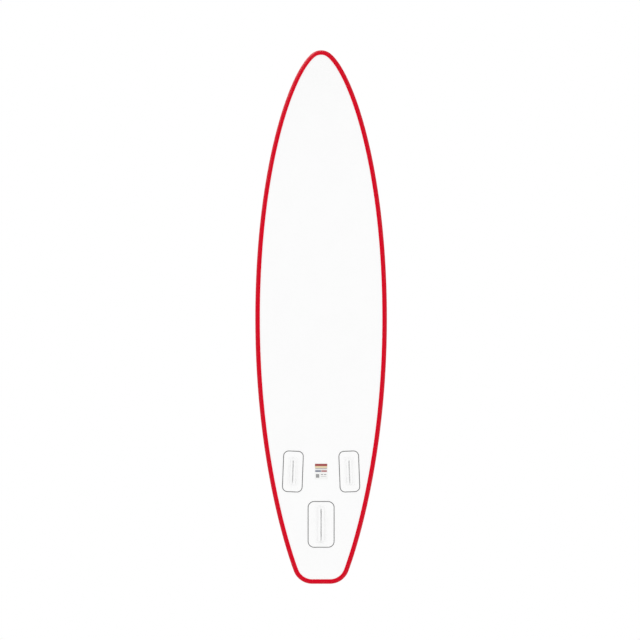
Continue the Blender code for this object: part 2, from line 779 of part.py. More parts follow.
def ring_loops():
    """A round wire's sections along the D."""
    path = ring_path()
    loops = []
    for i, point in enumerate(path):
        before = (point - path[i - 1]).normalized()
        after = (path[(i + 1) % len(path)] - point).normalized()
        along = (before + after).normalized()
        side = Vector((along.y, -along.x, 0))
        sections = circle(RING_WIRE, 0, RING_SIDES)
        loops.append([point + side * p.x + Vector((0, 0, p.y)) for p in sections])
    return loops


def loop_outline(axis):
    """Side view of the strap loop over a ring's bar, as (y, z) above the patch."""
    inner = RING_WIRE + 0.5 * MM
    outer = inner + LOOP_THICK
    turns = [math.pi * i / 5 for i in range(6)]
    over = [(outer * math.cos(a), axis + outer * math.sin(a)) for a in turns]
    under = [(inner * math.cos(a), axis + inner * math.sin(a)) for a in reversed(turns)]
    top = GAP + LOOP_THICK
    out = [(LOOP_TAIL, GAP), (LOOP_TAIL, top), (outer, top)] + over + [(-outer, top), (-LOOP_TAIL, top)]
    return out + [(-LOOP_TAIL, GAP), (-inner, GAP)] + under + [(inner, GAP)]


def make_ring(name, x, y, way):
    """A D-ring, lying flat with its bow towards the tail (way 1) or the nose (-1), its loop and its patch."""
    shape = placed(rounded(*RING_PATCH), x, y)
    plate(name + "_patch", shape, GAP, GAP + PATCH_THICK, on_deck, "white_pvc")
    turn = Matrix.Rotation(math.pi * (way < 0), 4, "Z")
    axis = RING_LIFT + RING_WIRE
    patch_top = deck_frame(x, y) @ turn @ Matrix.Translation((0, 0, GAP + PATCH_THICK))
    place = empty(name + "_place", patch_top @ Matrix.Translation((0, 0, axis)))
    loft(name, ring_loops(), "steel", place, closed=True)
    outline = loop_outline(axis)
    half = LOOP_WIDTH / 2
    loops = [[Vector((px, py, pz - axis)) for py, pz in outline] for px in (-half, half)]
    loft(name + "_loop", loops, "webbing", place)


# Valve


def make_spring(place):
    """The valve's return spring, one unbroken coil, and its least gap between turns."""
    loops, centres = [], []
    bottom, top = SPRING_Z
    for i in range(SPRING_TURNS * SPRING_STEPS + 1):
        angle = math.tau * i / SPRING_STEPS
        z = bottom + (top - bottom) * i / (SPRING_TURNS * SPRING_STEPS)
        out = Vector((math.cos(angle), math.sin(angle), 0))
        centres.append(out * SPRING_RADIUS + Vector((0, 0, z)))
        wire = circle(SPRING_WIRE, 0, 5)
        loops.append([centres[-1] + out * p.x + Vector((0, 0, p.y)) for p in wire])
    loft("valve_spring", loops, "steel", place)
    apart = [(a - b).length for a, b in zip(centres, centres[SPRING_STEPS:])]
    print(f"valve_spring: least gap between turns {(min(apart) - 2 * SPRING_WIRE) / MM:.2f} mm")


def make_valve_body(place):
    """The housing: flange, mouth, barrel, and the web that guides the stem."""
    barrel = [(3.4, -25), (3.4, -22), (19, -22), (19, 11), (24, 11), (24, 4.5), (31, 4.5), (31, 3)]
    barrel += [(29.5, 3), (29.5, 1.8), (21.7, 1.8), (21.7, -28), (14.5, -28), (14.5, -26.8)]
    barrel += [(19, -26.8), (19, -25)]
    body = turned("valve_body", barrel, "grey_plastic", place, closed=True)
    for i in range(4):
        angle = math.tau * (i + 0.5) / 4
        at = Matrix.Translation((12 * MM * math.cos(angle), 12 * MM * math.sin(angle), 0))
        vent_place = empty(f"vent_place_{i}", place.matrix_world @ at)
        vent = turned(f"vent_{i}", [(4.6, -26), (4.6, -21)], "grey_plastic", vent_place, sides=8)
        combine(body, vent, "DIFFERENCE")


def make_tether(place):
    """The rubber tether round the cap's waist, and the collar that holds it to the flange."""
    loop = [(28.0, 7.1), (31.0, 7.1), (31.0, 9.4), (28.0, 9.4)]
    tether = turned("cap_tether", loop, "rubber", place, closed=True)
    hinge_x, hinge_z = CAP_HINGE_X, CAP_HINGE_Z
    run = [(29.5 * MM, 7.4 * MM), (31.5 * MM, 7.4 * MM), (hinge_x, hinge_z - 0.8 * MM)]
    run += [(hinge_x + 0.6 * MM, hinge_z + 0.8 * MM), (31.5 * MM, 9.1 * MM), (29.5 * MM, 9.1 * MM)]
    strap = prism_y("tether_strap", run, -4 * MM, 4 * MM, "rubber", place)
    combine(tether, strap, "UNION")
    barrel = rod_y("tether_barrel", 1.6 * MM, -5 * MM, 5 * MM, hinge_x, hinge_z, place, sides=10)
    combine(tether, barrel, "UNION")
    ring = [(29.9, 0.5), (33.6, 0.5), (33.6, 2.6), (29.9, 2.6)]
    collar = turned("tether_collar", ring, "rubber", place, closed=True)
    ear = [(32 * MM, 0.6 * MM), (41 * MM, 0.6 * MM), (41 * MM, 4.2 * MM), (35.4 * MM, 4.2 * MM)]
    ear += [(34.4 * MM, 2.5 * MM), (32 * MM, 2.5 * MM)]
    combine(collar, prism_y("collar_ear", ear, -7 * MM, 7 * MM, "rubber", place), "UNION")
    groove = rod_y("collar_groove", 2.1 * MM, -6 * MM, 6 * MM, hinge_x, hinge_z, place, sides=12)
    combine(collar, groove, "DIFFERENCE")


def make_cap(place):
    """The screw cap with its grip bar, and the seal inside it."""
    shell = [(20, 15), (28.8, 15), (29.5, 14.3), (29.5, 10), (27.5, 9.7), (27.5, 6.8), (29.5, 6.5)]
    shell += [(29.5, 5.2), (24.8, 5.2), (24.8, 12.9)]
    cap = turned("valve_cap", shell, "grey_plastic", place)
    bar_low, bar_high = (-19 * MM, -3.5 * MM, 14.5 * MM), (19 * MM, 3.5 * MM, 18.5 * MM)
    combine(cap, block("cap_bar", bar_low, bar_high, "grey_plastic", place), "UNION")
    seal = [(19.5, 11.3), (24.3, 11.3), (24.3, 12.6), (19.5, 12.6)]
    turned("cap_seal", seal, "rubber", place, closed=True)


def make_valve():
    """The inflation valve, from the cap down to the seal disc."""
    place = empty("valve_axis", deck_frame(0, VALVE_Y))
    make_valve_body(place)
    gasket = [(22.6, 0.3), (29.2, 0.3), (29.2, 1.5), (22.6, 1.5)]
    turned("valve_gasket", gasket, "rubber", place, closed=True)
    nut = [(22.1, -8.8), (31, -8.8), (31, -2.9), (22.1, -2.9)]
    turned("valve_nut", nut, "grey_plastic", place, closed=True)
    cup = [(3.4, -3.7), (11, -3.7), (11, -1.3), (3.4, -1.3)]
    turned("spring_cup", cup, "grey_plastic", place, closed=True)
    stem = [(6, -34), (6, -31.6), (3, -31.6), (3, -1), (9, -1), (9, 3.2), (8.2, 4)]
    button = turned("valve_stem", stem, "red_pvc", place)
    rib_low, rib_high = (-7 * MM, -1.5 * MM, 3.5 * MM), (7 * MM, 1.5 * MM, 5.4 * MM)
    combine(button, block("button_rib", rib_low, rib_high, "red_pvc", place), "UNION")
    disc = [(3.3, -31.3), (17.5, -31.3), (17.5, -28.3), (3.3, -28.3)]
    turned("seal_disc", disc, "rubber", place, closed=True)
    make_spring(place)
    make_cap(place)
    make_tether(place)


def main():
    """Builds the whole board."""
    clear_scene()
    make_hull()
    make_fin_gear()
    make_pads()
    make_handle()
    for name, (x, y, way) in RINGS.items():
        make_ring(name, x, y, way)
    make_valve()
    bpy.context.view_layer.update()


if __name__ == "__main__":
    main()
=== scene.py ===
"""Looks of an inflatable stand-up paddle board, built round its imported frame.

Metres, +Z up out of the deck, +Y towards the tail. Each piece is made in its place, so its object stays at
the origin. The board lies deck up on the floor, and the camera looks at its hull from below.
"""

from __future__ import annotations

import json
import logging
import math
from dataclasses import dataclass
from enum import Enum
from functools import lru_cache, partialmethod
from itertools import groupby
from typing import Any, Callable, ClassVar, Iterable, Sequence

import bmesh
import bpy
from mathutils import Matrix, Vector
from mathutils.geometry import delaunay_2d_cdt

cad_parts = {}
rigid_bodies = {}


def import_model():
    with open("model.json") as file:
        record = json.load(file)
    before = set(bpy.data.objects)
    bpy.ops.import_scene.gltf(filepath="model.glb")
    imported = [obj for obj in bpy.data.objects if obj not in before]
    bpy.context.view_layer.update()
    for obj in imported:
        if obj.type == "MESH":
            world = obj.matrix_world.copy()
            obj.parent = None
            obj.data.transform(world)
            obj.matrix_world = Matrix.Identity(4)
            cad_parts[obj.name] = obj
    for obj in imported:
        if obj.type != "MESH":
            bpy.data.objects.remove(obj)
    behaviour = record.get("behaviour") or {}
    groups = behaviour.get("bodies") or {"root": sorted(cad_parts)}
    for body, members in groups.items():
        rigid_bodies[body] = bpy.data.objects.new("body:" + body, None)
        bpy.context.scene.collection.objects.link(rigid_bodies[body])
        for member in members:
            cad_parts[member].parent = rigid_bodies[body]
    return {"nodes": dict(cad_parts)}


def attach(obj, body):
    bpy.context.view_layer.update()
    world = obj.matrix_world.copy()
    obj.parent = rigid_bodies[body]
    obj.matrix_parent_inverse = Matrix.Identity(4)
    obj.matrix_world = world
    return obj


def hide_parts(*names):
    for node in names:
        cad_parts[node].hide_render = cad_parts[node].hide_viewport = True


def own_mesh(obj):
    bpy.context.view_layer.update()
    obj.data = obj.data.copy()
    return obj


LOG = logging.getLogger("paddle_board")
MM = 0.001
# Where sheets and pads start, a little under the surface that they lie on.
SUNK = -0.2 * MM
UV_NAME = "Lie"
WHITE = (1.0, 1.0, 1.0, 1.0)

Pair = tuple[float, float]
Triple = tuple[float, float, float]
Pairs = Sequence[Pair]
Loop = list[Vector]
Piece = bpy.types.Object


class Face(Enum):
    """The two broad faces of the board, with the way that each looks along Z."""

    HULL = -1
    DECK = 1


class Slot(Enum):
    """Material slots of the record, one named by each finish."""

    WHITE_PVC = "white_pvc"
    RED_PVC = "red_pvc"
    GREY_BEAD = "grey_bead"
    WHITE_PLASTIC = "white_plastic"
    GREY_PLASTIC = "grey_plastic"
    VALVE_PLASTIC = "valve_plastic"
    BUTTON_PLASTIC = "button_plastic"
    PALE_FOAM = "pale_foam"
    DARK_FOAM = "dark_foam"
    GRIP_FOAM = "grip_foam"
    WEBBING = "webbing"
    RUBBER = "rubber"
    STEEL = "steel"
    CLOTH = "cloth"
    STICKER = "sticker"


# Node trees


class Wire:
    """An output in a node tree, on which Python's own sums add Math nodes."""

    def __init__(self, graph: Graph, socket: bpy.types.NodeSocket) -> None:
        """Wraps a socket of the graph's tree."""
        self.graph, self.socket = graph, socket

    def math(self, operation: str, *others: Any) -> Wire:
        """One sum on this number and others."""
        return self.graph.math(operation, self, *others)

    __add__ = partialmethod(math, "ADD")
    __sub__ = partialmethod(math, "SUBTRACT")
    __mul__ = partialmethod(math, "MULTIPLY")
    __truediv__ = partialmethod(math, "DIVIDE")
    __mod__ = partialmethod(math, "FLOORED_MODULO")
    __pow__ = partialmethod(math, "POWER")
    __abs__ = partialmethod(math, "ABSOLUTE")
    floor = partialmethod(math, "FLOOR")
    sine = partialmethod(math, "SINE")
    cosine = partialmethod(math, "COSINE")


class Graph:
    """Adds nodes to one node tree and wires them up."""

    def __init__(self, tree: bpy.types.NodeTree) -> None:
        """Keeps the tree that the nodes go into."""
        self.tree = tree

    @classmethod
    def blank(cls, owner: bpy.types.Material | bpy.types.World) -> Graph:
        """A graph on the emptied tree of a material or a world.

        Args:
            owner: The material or world.

        Returns:
            The graph.
        """
        owner.use_nodes = True
        owner.node_tree.nodes.clear()
        return cls(owner.node_tree)

    def feed(self, socket: bpy.types.NodeSocket, value: Any) -> None:
        """Links a socket to a wire or another socket, or gives it a plain value.

        Args:
            socket: The input.
            value: What it takes.
        """
        value = value.socket if isinstance(value, Wire) else value
        if isinstance(value, bpy.types.NodeSocket):
            self.tree.links.new(value, socket)
        else:
            socket.default_value = value

    def add(self, kind: str, inputs: dict[str | int, Any] | None = None, **settings: Any) -> bpy.types.Node:
        """Adds a node.

        Args:
            kind: The node's type name.
            inputs: Values or wires for its inputs, by name or by place.
            settings: Values for the node's own properties.

        Returns:
            The new node.
        """
        node = self.tree.nodes.new(kind)
        for key, value in settings.items():
            setattr(node, key, value)
        for key, value in (inputs or {}).items():
            self.feed(node.inputs[key], value)
        return node

    def get(
        self, kind: str, inputs: dict[str | int, Any] | None = None, output: str | int = 0, **settings: Any
    ) -> Wire:
        """Adds a node for one of its outputs."""
        return Wire(self, self.add(kind, inputs, **settings).outputs[output])

    def math(self, operation: str, *values: Any, clamp: bool = False) -> Wire:
        """One sum on numbers or wires."""
        return self.get("ShaderNodeMath", dict(enumerate(values)), operation=operation, use_clamp=clamp)

    def vector(self, operation: str, *values: Any) -> Wire:
        """One sum on vectors."""
        return self.get("ShaderNodeVectorMath", dict(enumerate(values)), operation=operation)

    def split(self, vector: Any) -> list[Wire]:
        """The three parts of a vector."""
        return [Wire(self, part) for part in self.add("ShaderNodeSeparateXYZ", {0: vector}).outputs]

    def join(self, x: Any, y: Any, z: Any) -> Wire:
        """A vector from its three parts."""
        return self.get("ShaderNodeCombineXYZ", {0: x, 1: y, 2: z})

    def blend(self, share: Any, first: Any, second: Any) -> Wire:
        """A colour between two colours."""
        return self.get("ShaderNodeMix", {0: share, 6: first, 7: second}, output=2, data_type="RGBA")

    def ease(self, value: Any, low: float, high: float) -> Wire:
        """A smooth rise from 0 to 1 as the value goes from low to high."""
        inputs = {"Value": value, "From Min": low, "From Max": high}
        return self.get("ShaderNodeMapRange", inputs, interpolation_type="SMOOTHSTEP")

    def noise(self, vector: Any, scale: Any, detail: float = 3.0) -> Wire:
        """A soft noise from 0 to 1."""
        inputs = {"Vector": vector, "Scale": scale, "Detail": detail, "Roughness": 0.55}
        return self.get("ShaderNodeTexNoise", inputs)


Wires = dict[str, Wire]
GroupBuilder = Callable[[Graph, Wires], Wires]
SOCKETS = {
    "VECTOR": "NodeSocketVector",
    "FLOAT": "NodeSocketFloat",
    "OBJECT": "NodeSocketObject",
    "MATERIAL": "NodeSocketMaterial",
    "GEOMETRY": "NodeSocketGeometry",
}


def make_group(
    name: str, kind: str, inputs: dict[str, str], outputs: dict[str, str], build: GroupBuilder
) -> bpy.types.NodeTree:
    """A node group with named sockets, built on first use.

    Args:
        name: The group's name.
        kind: ShaderNodeTree or GeometryNodeTree.
        inputs: Each input's name, with its socket's kind as a key of SOCKETS.
        outputs: The same for the outputs.
        build: Adds the nodes between, and returns a wire for each output.

    Returns:
        The group.
    """
    tree = bpy.data.node_groups.get(name)
    if tree:
        return tree
    tree = bpy.data.node_groups.new(name, kind)
    for sockets, way in ((inputs, "INPUT"), (outputs, "OUTPUT")):
        for label, shape in sockets.items():
            tree.interface.new_socket(label, in_out=way, socket_type=SOCKETS[shape])
    graph = Graph(tree)
    source = graph.add("NodeGroupInput")
    results = build(graph, {label: Wire(graph, source.outputs[label]) for label in inputs})
    graph.add("NodeGroupOutput", results)
    return tree


def weave_nodes(graph: Graph, given: Wires) -> Wires:
    """Warp and weft that pass over and under each other.

    Args:
        graph: The group's graph.
        given: Vector, and Threads to the metre.

    Returns:
        Height, from 0 to 1.
    """
    x, y, _ = (part * given["Threads"] for part in graph.split(given["Vector"]))
    warp, weft = abs((x * math.pi).sine()), abs((y * math.pi).sine())
    over = (x.floor() + y.floor()) % 2.0
    under = graph.math("SUBTRACT", 1.0, over)
    return {"Height": warp * (weft * 0.4 + 0.6) * over + weft * (warp * 0.4 + 0.6) * under}


def mottle_nodes(graph: Graph, given: Wires) -> Wires:
    """Broad soft patches broken up by finer ones.

    Args:
        graph: The group's graph.
        given: Vector, and Scale.

    Returns:
        Patches, from 0 to 1.
    """
    broad = graph.noise(given["Vector"], given["Scale"], detail=2.0)
    fine = graph.noise(given["Vector"], given["Scale"] * 9.0, detail=4.0)
    return {"Patches": graph.ease(fine * 0.35 + broad * 0.65, 0.34, 0.66)}


def grain_nodes(graph: Graph, given: Wires) -> Wires:
    """Rounded pips of a spark-eroded mould.

    Args:
        graph: The group's graph.
        given: Vector, and Scale.

    Returns:
        Height, from 0 to 1.
    """
    inputs = {"Vector": given["Vector"], "Scale": given["Scale"], "Smoothness": 0.6}
    pips = graph.get("ShaderNodeTexVoronoi", inputs, feature="SMOOTH_F1")
    return {"Height": pips * -0.6 + graph.noise(given["Vector"], given["Scale"], detail=2.0)}


def wear_nodes(graph: Graph, given: Wires) -> Wires:
    """Rubbed edges, from 0 to 1: where the surface turns outwards, broken up by noise."""
    edge = graph.ease(graph.get("ShaderNodeNewGeometry", output="Pointiness"), 0.50, 0.56)
    return {"Rubbed": edge * graph.ease(graph.noise(given["Vector"], 260.0), 0.40, 0.62) * given["Amount"]}


class SharedEffect(Enum):
    """Effects that more than one material uses: name, second input, output and nodes of each group."""

    WEAVE = ("Plain weave", "Threads", "Height", weave_nodes)
    MOTTLE = ("Soft mottle", "Scale", "Patches", mottle_nodes)
    GRAIN = ("Moulded grain", "Scale", "Height", grain_nodes)
    WEAR = ("Edge wear", "Amount", "Rubbed", wear_nodes)

    def place(self, graph: Graph, vector: Wire, amount: float) -> Wire:
        """Adds the effect's group to a material.

        Args:
            graph: The material's graph.
            vector: Where on the piece each point lies.
            amount: The value for the group's second input.

        Returns:
            The group's output.
        """
        name, label, output, build = self.value
        inputs = {"Vector": "VECTOR", label: "FLOAT"}
        group = make_group(name, "ShaderNodeTree", inputs, {output: "FLOAT"}, build)
        return graph.get("ShaderNodeGroup", node_tree=group, inputs={"Vector": vector, label: amount})


# Finishes


@dataclass(frozen=True)
class Surface:
    """What a finish reads at each point: its place, its lie along the cloth, and the mottle there."""

    graph: Graph
    place: Wire
    along: Wire
    patches: Wire


@dataclass(frozen=True)
class Finish:
    """A smooth moulded finish, and what every other finish starts from."""

    name: str
    slot: Slot
    colour: Triple
    roughness: float
    specular: float = 0.5
    metallic: float = 0.0
    sheen: float = 0.0
    variation: float = 0.03
    mottle: float = 6.0
    relief: float = 0.1 * MM
    wear: float = 0.0
    uses_uv: bool = False

    def material(self) -> bpy.types.Material:
        """The material of this finish, built on first use."""
        return bpy.data.materials.get(self.name) or self.build()

    def build(self) -> bpy.types.Material:
        """Builds the material: mottled colour and roughness, relief, then what a kind of finish adds.

        Returns:
            The new material.
        """
        material = bpy.data.materials.new(self.name)
        graph = Graph.blank(material)
        shader = graph.add("ShaderNodeBsdfPrincipled")
        graph.add("ShaderNodeOutputMaterial", {"Surface": shader.outputs[0]})
        place = graph.get("ShaderNodeTexCoord", output="Object")
        along = graph.get("ShaderNodeUVMap", uv_map=UV_NAME) if self.uses_uv else place
        on = Surface(graph, place, along, SharedEffect.MOTTLE.place(graph, place, self.mottle))
        low, high = self.roughness * 0.9, min(1.0, self.roughness * 1.1)
        spread = {"Value": on.patches, "To Min": low, "To Max": high}
        bump = {"Strength": 1.0, "Distance": self.relief, "Height": self.height(on)}
        looks = {
            "Base Color": self.coloured(on),
            "Roughness": graph.get("ShaderNodeMapRange", spread),
            "Specular IOR Level": self.specular,
            "Metallic": self.metallic,
            "Sheen Weight": self.sheen,
            "Normal": graph.get("ShaderNodeBump", bump),
        }
        for label, value in looks.items():
            graph.feed(shader.inputs[label], value)
        return material

    def shade(self, factor: float) -> tuple[float, ...]:
        """The finish's colour made lighter or darker."""
        return (*(min(1.0, part * factor) for part in self.colour), 1.0)

    def ground(self, on: Surface) -> Wire:
        """The colour with its darker and lighter patches."""
        return on.graph.blend(on.patches, self.shade(1 - self.variation), self.shade(1 + self.variation))

    def coloured(self, on: Surface) -> Wire:
        """The colour over the surface, paler where edges are rubbed.

        Args:
            on: What the finish reads.

        Returns:
            The colour.
        """
        if not self.wear:
            return self.ground(on)
        rubbed = SharedEffect.WEAR.place(on.graph, on.place, self.wear)
        return on.graph.blend(rubbed, self.ground(on), self.shade(1.25))

    def height(self, on: Surface) -> Wire:
        """The relief as a height from 0 to 1: a moulded grain."""
        return SharedEffect.GRAIN.place(on.graph, on.place, 1400.0)


@dataclass(frozen=True)
class CoatedCloth(Finish):
    """PVC-coated cloth: the weave shows faintly through the coating, over very shallow ripples."""

    threads: float = 850.0
    ripple: float = 14.0

    def height(self, on: Surface) -> Wire:
        """The weave over broad ripples."""
        weave = SharedEffect.WEAVE.place(on.graph, on.along, self.threads)
        return on.graph.noise(on.place, self.ripple) * 3.0 + weave


@dataclass(frozen=True)
class WovenStrap(Finish):
    """Webbing: thick yarns that follow the strap, with a lighter fleck in the yarn and painted shade between
    the yarns.
    """

    threads: float = 620.0

    def coloured(self, on: Surface) -> Wire:
        """Painted shade between the yarns, and flecked."""
        weave = SharedEffect.WEAVE.place(on.graph, on.along, self.threads)
        # The low parts of the weave get a darker copy of the colour: painted shade between the yarns.
        return on.graph.blend(weave, self.shade(0.35), self.ground(on))

    def height(self, on: Surface) -> Wire:
        """The yarns with their fuzz."""
        weave = SharedEffect.WEAVE.place(on.graph, on.along, self.threads)
        return on.graph.noise(on.place, 3000.0) * 0.3 + weave


@dataclass(frozen=True)
class ClosedCellFoam(Finish):
    """Foam sheet with a fine brushed skin: small open cells, and darker specks in them."""

    cells: float = 900.0

    def coloured(self, on: Surface) -> Wire:
        """Speckled by its cells."""
        specks = on.graph.ease(on.graph.noise(on.place, self.cells, detail=2.0), 0.60, 0.72)
        return on.graph.blend(specks * 0.5, self.ground(on), self.shade(0.7))

    def height(self, on: Surface) -> Wire:
        """Cells over a coarser nap."""
        cells = on.graph.get("ShaderNodeTexVoronoi", {"Vector": on.place, "Scale": self.cells}, feature="F1")
        return on.graph.noise(on.place, self.cells / 4) * 0.6 + cells


@dataclass(frozen=True)
class PolishedSteel(Finish):
    """Bent stainless wire: polished, with fine rub marks."""

    def height(self, on: Surface) -> Wire:
        """Fine marks drawn out along the wire's plane."""
        drawn = on.graph.get("ShaderNodeMapping", {"Vector": on.place, "Scale": (1.0, 1.0, 14.0)})
        return on.graph.noise(drawn, 900.0, detail=5.0)


@dataclass(frozen=True)
class PrintedFilm(Finish):
    """A plain decal: blocks of colour as left, right, top and bottom shares of its size, no lettering."""

    centre: Pair = (0.0, 0.925)
    size: Pair = (0.078, 0.096)
    paper: Triple = (0.86, 0.86, 0.85)
    blocks: tuple[tuple[float, float, float, float, Triple], ...] = (
        (0.03, 0.97, 0.03, 0.17, (0.32, 0.040, 0.042)),
        (0.03, 0.97, 0.17, 0.29, (0.70, 0.58, 0.36)),
        (0.05, 0.95, 0.31, 0.37, (0.36, 0.35, 0.34)),
        (0.05, 0.50, 0.43, 0.54, (0.17, 0.19, 0.25)),
        (0.52, 0.95, 0.43, 0.54, (0.42, 0.17, 0.17)),
        (0.10, 0.36, 0.67, 0.90, (0.30, 0.30, 0.30)),
        (0.48, 0.66, 0.67, 0.73, (0.36, 0.36, 0.36)),
        (0.72, 0.90, 0.67, 0.73, (0.36, 0.36, 0.36)),
        (0.48, 0.90, 0.81, 0.84, (0.50, 0.50, 0.50)),
    )

    def coloured(self, on: Surface) -> Wire:
        """The paper with its blocks.

        Args:
            on: What the finish reads.

        Returns:
            The colour.
        """
        shares = []
        for part, size, middle in zip(on.graph.split(on.place), self.size, self.centre):
            shares.append(part * (1 / size) + (0.5 - middle / size))
        tint: Any = (*self.paper, 1.0)
        for left, right, top, bottom, colour in self.blocks:
            inside = [
                share.math("GREATER_THAN", low) * share.math("LESS_THAN", high)
                for share, low, high in zip(shares, (left, top), (right, bottom))
            ]
            tint = on.graph.blend(inside[0] * inside[1], tint, (*colour, 1.0))
        return tint


@dataclass(frozen=True)
class Palette:
    """Every finish on the board."""

    hull: Finish = CoatedCloth(
        "white coated cloth", Slot.WHITE_PVC, (0.92, 0.92, 0.92), 0.34, variation=0.004, relief=0.05 * MM
    )
    band: Finish = CoatedCloth(
        "red coated tape", Slot.RED_PVC, (0.69, 0.0012, 0.017), 0.62, specular=0.04, relief=0.06 * MM,
        uses_uv=True,
    )
    # The bead's dark grey is partly painted shade: it also stands for the shade line along each patch edge.
    bead: Finish = Finish(
        "grey bead with painted edge shade", Slot.GREY_BEAD, (0.125, 0.125, 0.127), 0.55, specular=0.2, variation=0.08,
        mottle=30.0, relief=0.05 * MM,
    )
    box: Finish = Finish(
        "white moulded plastic", Slot.WHITE_PLASTIC, (0.91, 0.91, 0.91), 0.38, variation=0.006,
        relief=0.02 * MM,
    )
    grey: Finish = Finish(
        "grey moulded plastic", Slot.GREY_PLASTIC, (0.40, 0.41, 0.42), 0.45, wear=0.2, relief=0.04 * MM
    )
    valve: Finish = Finish(
        "valve plastic", Slot.VALVE_PLASTIC, (0.36, 0.37, 0.38), 0.42, wear=0.2, relief=0.03 * MM
    )
    button: Finish = Finish(
        "red button plastic", Slot.BUTTON_PLASTIC, (0.58, 0.02, 0.02), 0.3, relief=0.02 * MM
    )
    pad: Finish = ClosedCellFoam(
        "pale foam", Slot.PALE_FOAM, (0.50, 0.51, 0.52), 0.88, specular=0.3, variation=0.05, relief=0.12 * MM
    )
    kick: Finish = ClosedCellFoam(
        "dark foam", Slot.DARK_FOAM, (0.10, 0.104, 0.108), 0.9, specular=0.3, variation=0.10,
        relief=0.12 * MM,
    )
    grip: Finish = WovenStrap(
        "grip sleeve", Slot.GRIP_FOAM, (0.085, 0.087, 0.09), 0.8, sheen=0.3, variation=0.08, threads=420.0,
        relief=0.25 * MM, uses_uv=True,
    )
    webbing: Finish = WovenStrap(
        "black webbing", Slot.WEBBING, (0.045, 0.045, 0.048), 0.75, sheen=0.25, variation=0.10,
        relief=0.3 * MM, uses_uv=True,
    )
    thread: Finish = Finish(
        "white thread", Slot.WEBBING, (0.50, 0.50, 0.49), 0.7, sheen=0.3, relief=0.05 * MM
    )
    rubber: Finish = Finish("black rubber", Slot.RUBBER, (0.028, 0.028, 0.03), 0.62, variation=0.08)
    steel: Finish = PolishedSteel(
        "polished steel", Slot.STEEL, (0.62, 0.62, 0.63), 0.22, metallic=1.0, relief=0.01 * MM
    )
    cloth: Finish = CoatedCloth(
        "base cloth", Slot.CLOTH, (0.70, 0.70, 0.66), 0.9, threads=500.0, relief=0.15 * MM
    )
    film: Finish = PrintedFilm("decal film", Slot.STICKER, (0.70, 0.66, 0.56), 0.4, relief=0.01 * MM)


PALETTE = Palette()


# Shapes in plan


def sweep(turn: float, steps: int) -> list[float]:
    """Angles or shares from 0 up in even steps."""
    return [turn * i / steps for i in range(steps + 1)]


def arc(radius: float, turns: Iterable[float], x: float = 0.0, y: float = 0.0) -> Loop:
    """Points round a centre, at these angles from +X."""
    return [Vector((x + radius * math.cos(a), y + radius * math.sin(a))) for a in turns]


def flipped(row: Pairs) -> Loop:
    """A row of points mirrored in X, from its end to its start."""
    return [Vector((-x, y)) for x, y in reversed(row)]


def mirrored(half: Loop) -> Loop:
    """A closed loop from its +X half, which starts and ends on the centreline."""
    return half + flipped(half[1:-1])


def interpolate(pairs: Pairs, key: float) -> float:
    """The value at a key in a rising row of pairs, level past its ends.

    Args:
        pairs: The row of (key, value).
        key: Where the value is wanted.

    Returns:
        The value.
    """
    for (k0, v0), (k1, v1) in zip(pairs, pairs[1:]):
        if key <= k1:
            return v0 + (v1 - v0) * max(0.0, key - k0) / (k1 - k0)
    return pairs[-1][1]


def smooth(share: float) -> float:
    """An even ease from 0 to 1."""
    share = min(1.0, max(0.0, share))
    return share * share * (3 - 2 * share)


def normals(loop: Sequence[Vector]) -> Loop:
    """The way out at each point of a flat loop that runs anticlockwise.

    Args:
        loop: The loop's points.

    Returns:
        A unit vector for each point.
    """
    made = []
    for i, point in enumerate(loop):
        along = (point - loop[i - 1]).normalized() + (loop[(i + 1) % len(loop)] - point).normalized()
        made.append(Vector((along.y, -along.x)).normalized())
    return made


def offset(loop: Sequence[Vector], distance: float) -> Loop:
    """A flat anticlockwise loop moved inwards by a distance."""
    return [point - out * distance for point, out in zip(loop, normals(loop))]


def rounded(width: float, length: float, radius: float, corner: int = 8, rows: int = 20) -> Loop:
    """A rectangle with round corners, from the middle of its front round by +X.

    Args:
        width: Size along X.
        length: Size along Y.
        radius: Radius of the corners.
        corner: Steps round each corner.
        rows: Steps along each side.

    Returns:
        The loop's points.
    """
    x, y = width / 2 - radius, length / 2 - radius
    turns = sweep(math.pi / 2, corner)
    half = [Vector((0, -length / 2))]
    half += [Vector((x + radius * math.sin(a), -y - radius * math.cos(a))) for a in turns]
    half += [Vector((width / 2, -y + 2 * y * i / rows)) for i in range(1, rows)]
    half += arc(radius, turns, x, y)
    return mirrored(half + [Vector((0, length / 2))])


def placed(shape: Iterable[Vector], x: float, y: float, turn: float = 0.0) -> Loop:
    """A flat shape turned and moved over the board."""
    cos, sin = math.cos(turn), math.sin(turn)
    return [Vector((x + p.x * cos - p.y * sin, y + p.x * sin + p.y * cos)) for p in shape]


def holds(loop: Sequence[Vector], point: Vector) -> bool:
    """Whether a flat loop goes round a point.

    Args:
        loop: The loop's points.
        point: The point.

    Returns:
        True where it does.
    """
    inside = False
    for a, b in zip(loop, [*loop[1:], loop[0]]):
        if (a.y > point.y) != (b.y > point.y):
            inside ^= point.x < a.x + (b.x - a.x) * (point.y - a.y) / (b.y - a.y)
    return inside


def softened(profile: Pairs, radius: float, steps: int = 3) -> list[Pair]:
    """A flat closed profile with its corners rounded off.

    Args:
        profile: The corners as pairs of numbers.
        radius: Most that is cut from each side of a corner.
        steps: Steps round each corner.

    Returns:
        The rounded profile.
    """
    points = [Vector(p) for p in profile]
    made = []
    for i, corner in enumerate(points):
        before, after = points[i - 1] - corner, points[(i + 1) % len(points)] - corner
        cut = min(radius, before.length * 0.45, after.length * 0.45)
        start, end = corner + before.normalized() * cut, corner + after.normalized() * cut
        for t in sweep(1.0, steps):
            made.append(tuple(start * (1 - t) ** 2 + corner * (2 * t * (1 - t)) + end * t**2))
    return made


def eased_edge(low: float, high: float, radius: float, steps: int = 3) -> list[Pair]:
    """Inset and height of each loop up a plate's side and round its edge."""
    turns = sweep(math.pi / 2, steps)
    return [(0.0, low)] + [(radius * (1 - math.cos(a)), high - radius * (1 - math.sin(a))) for a in turns]


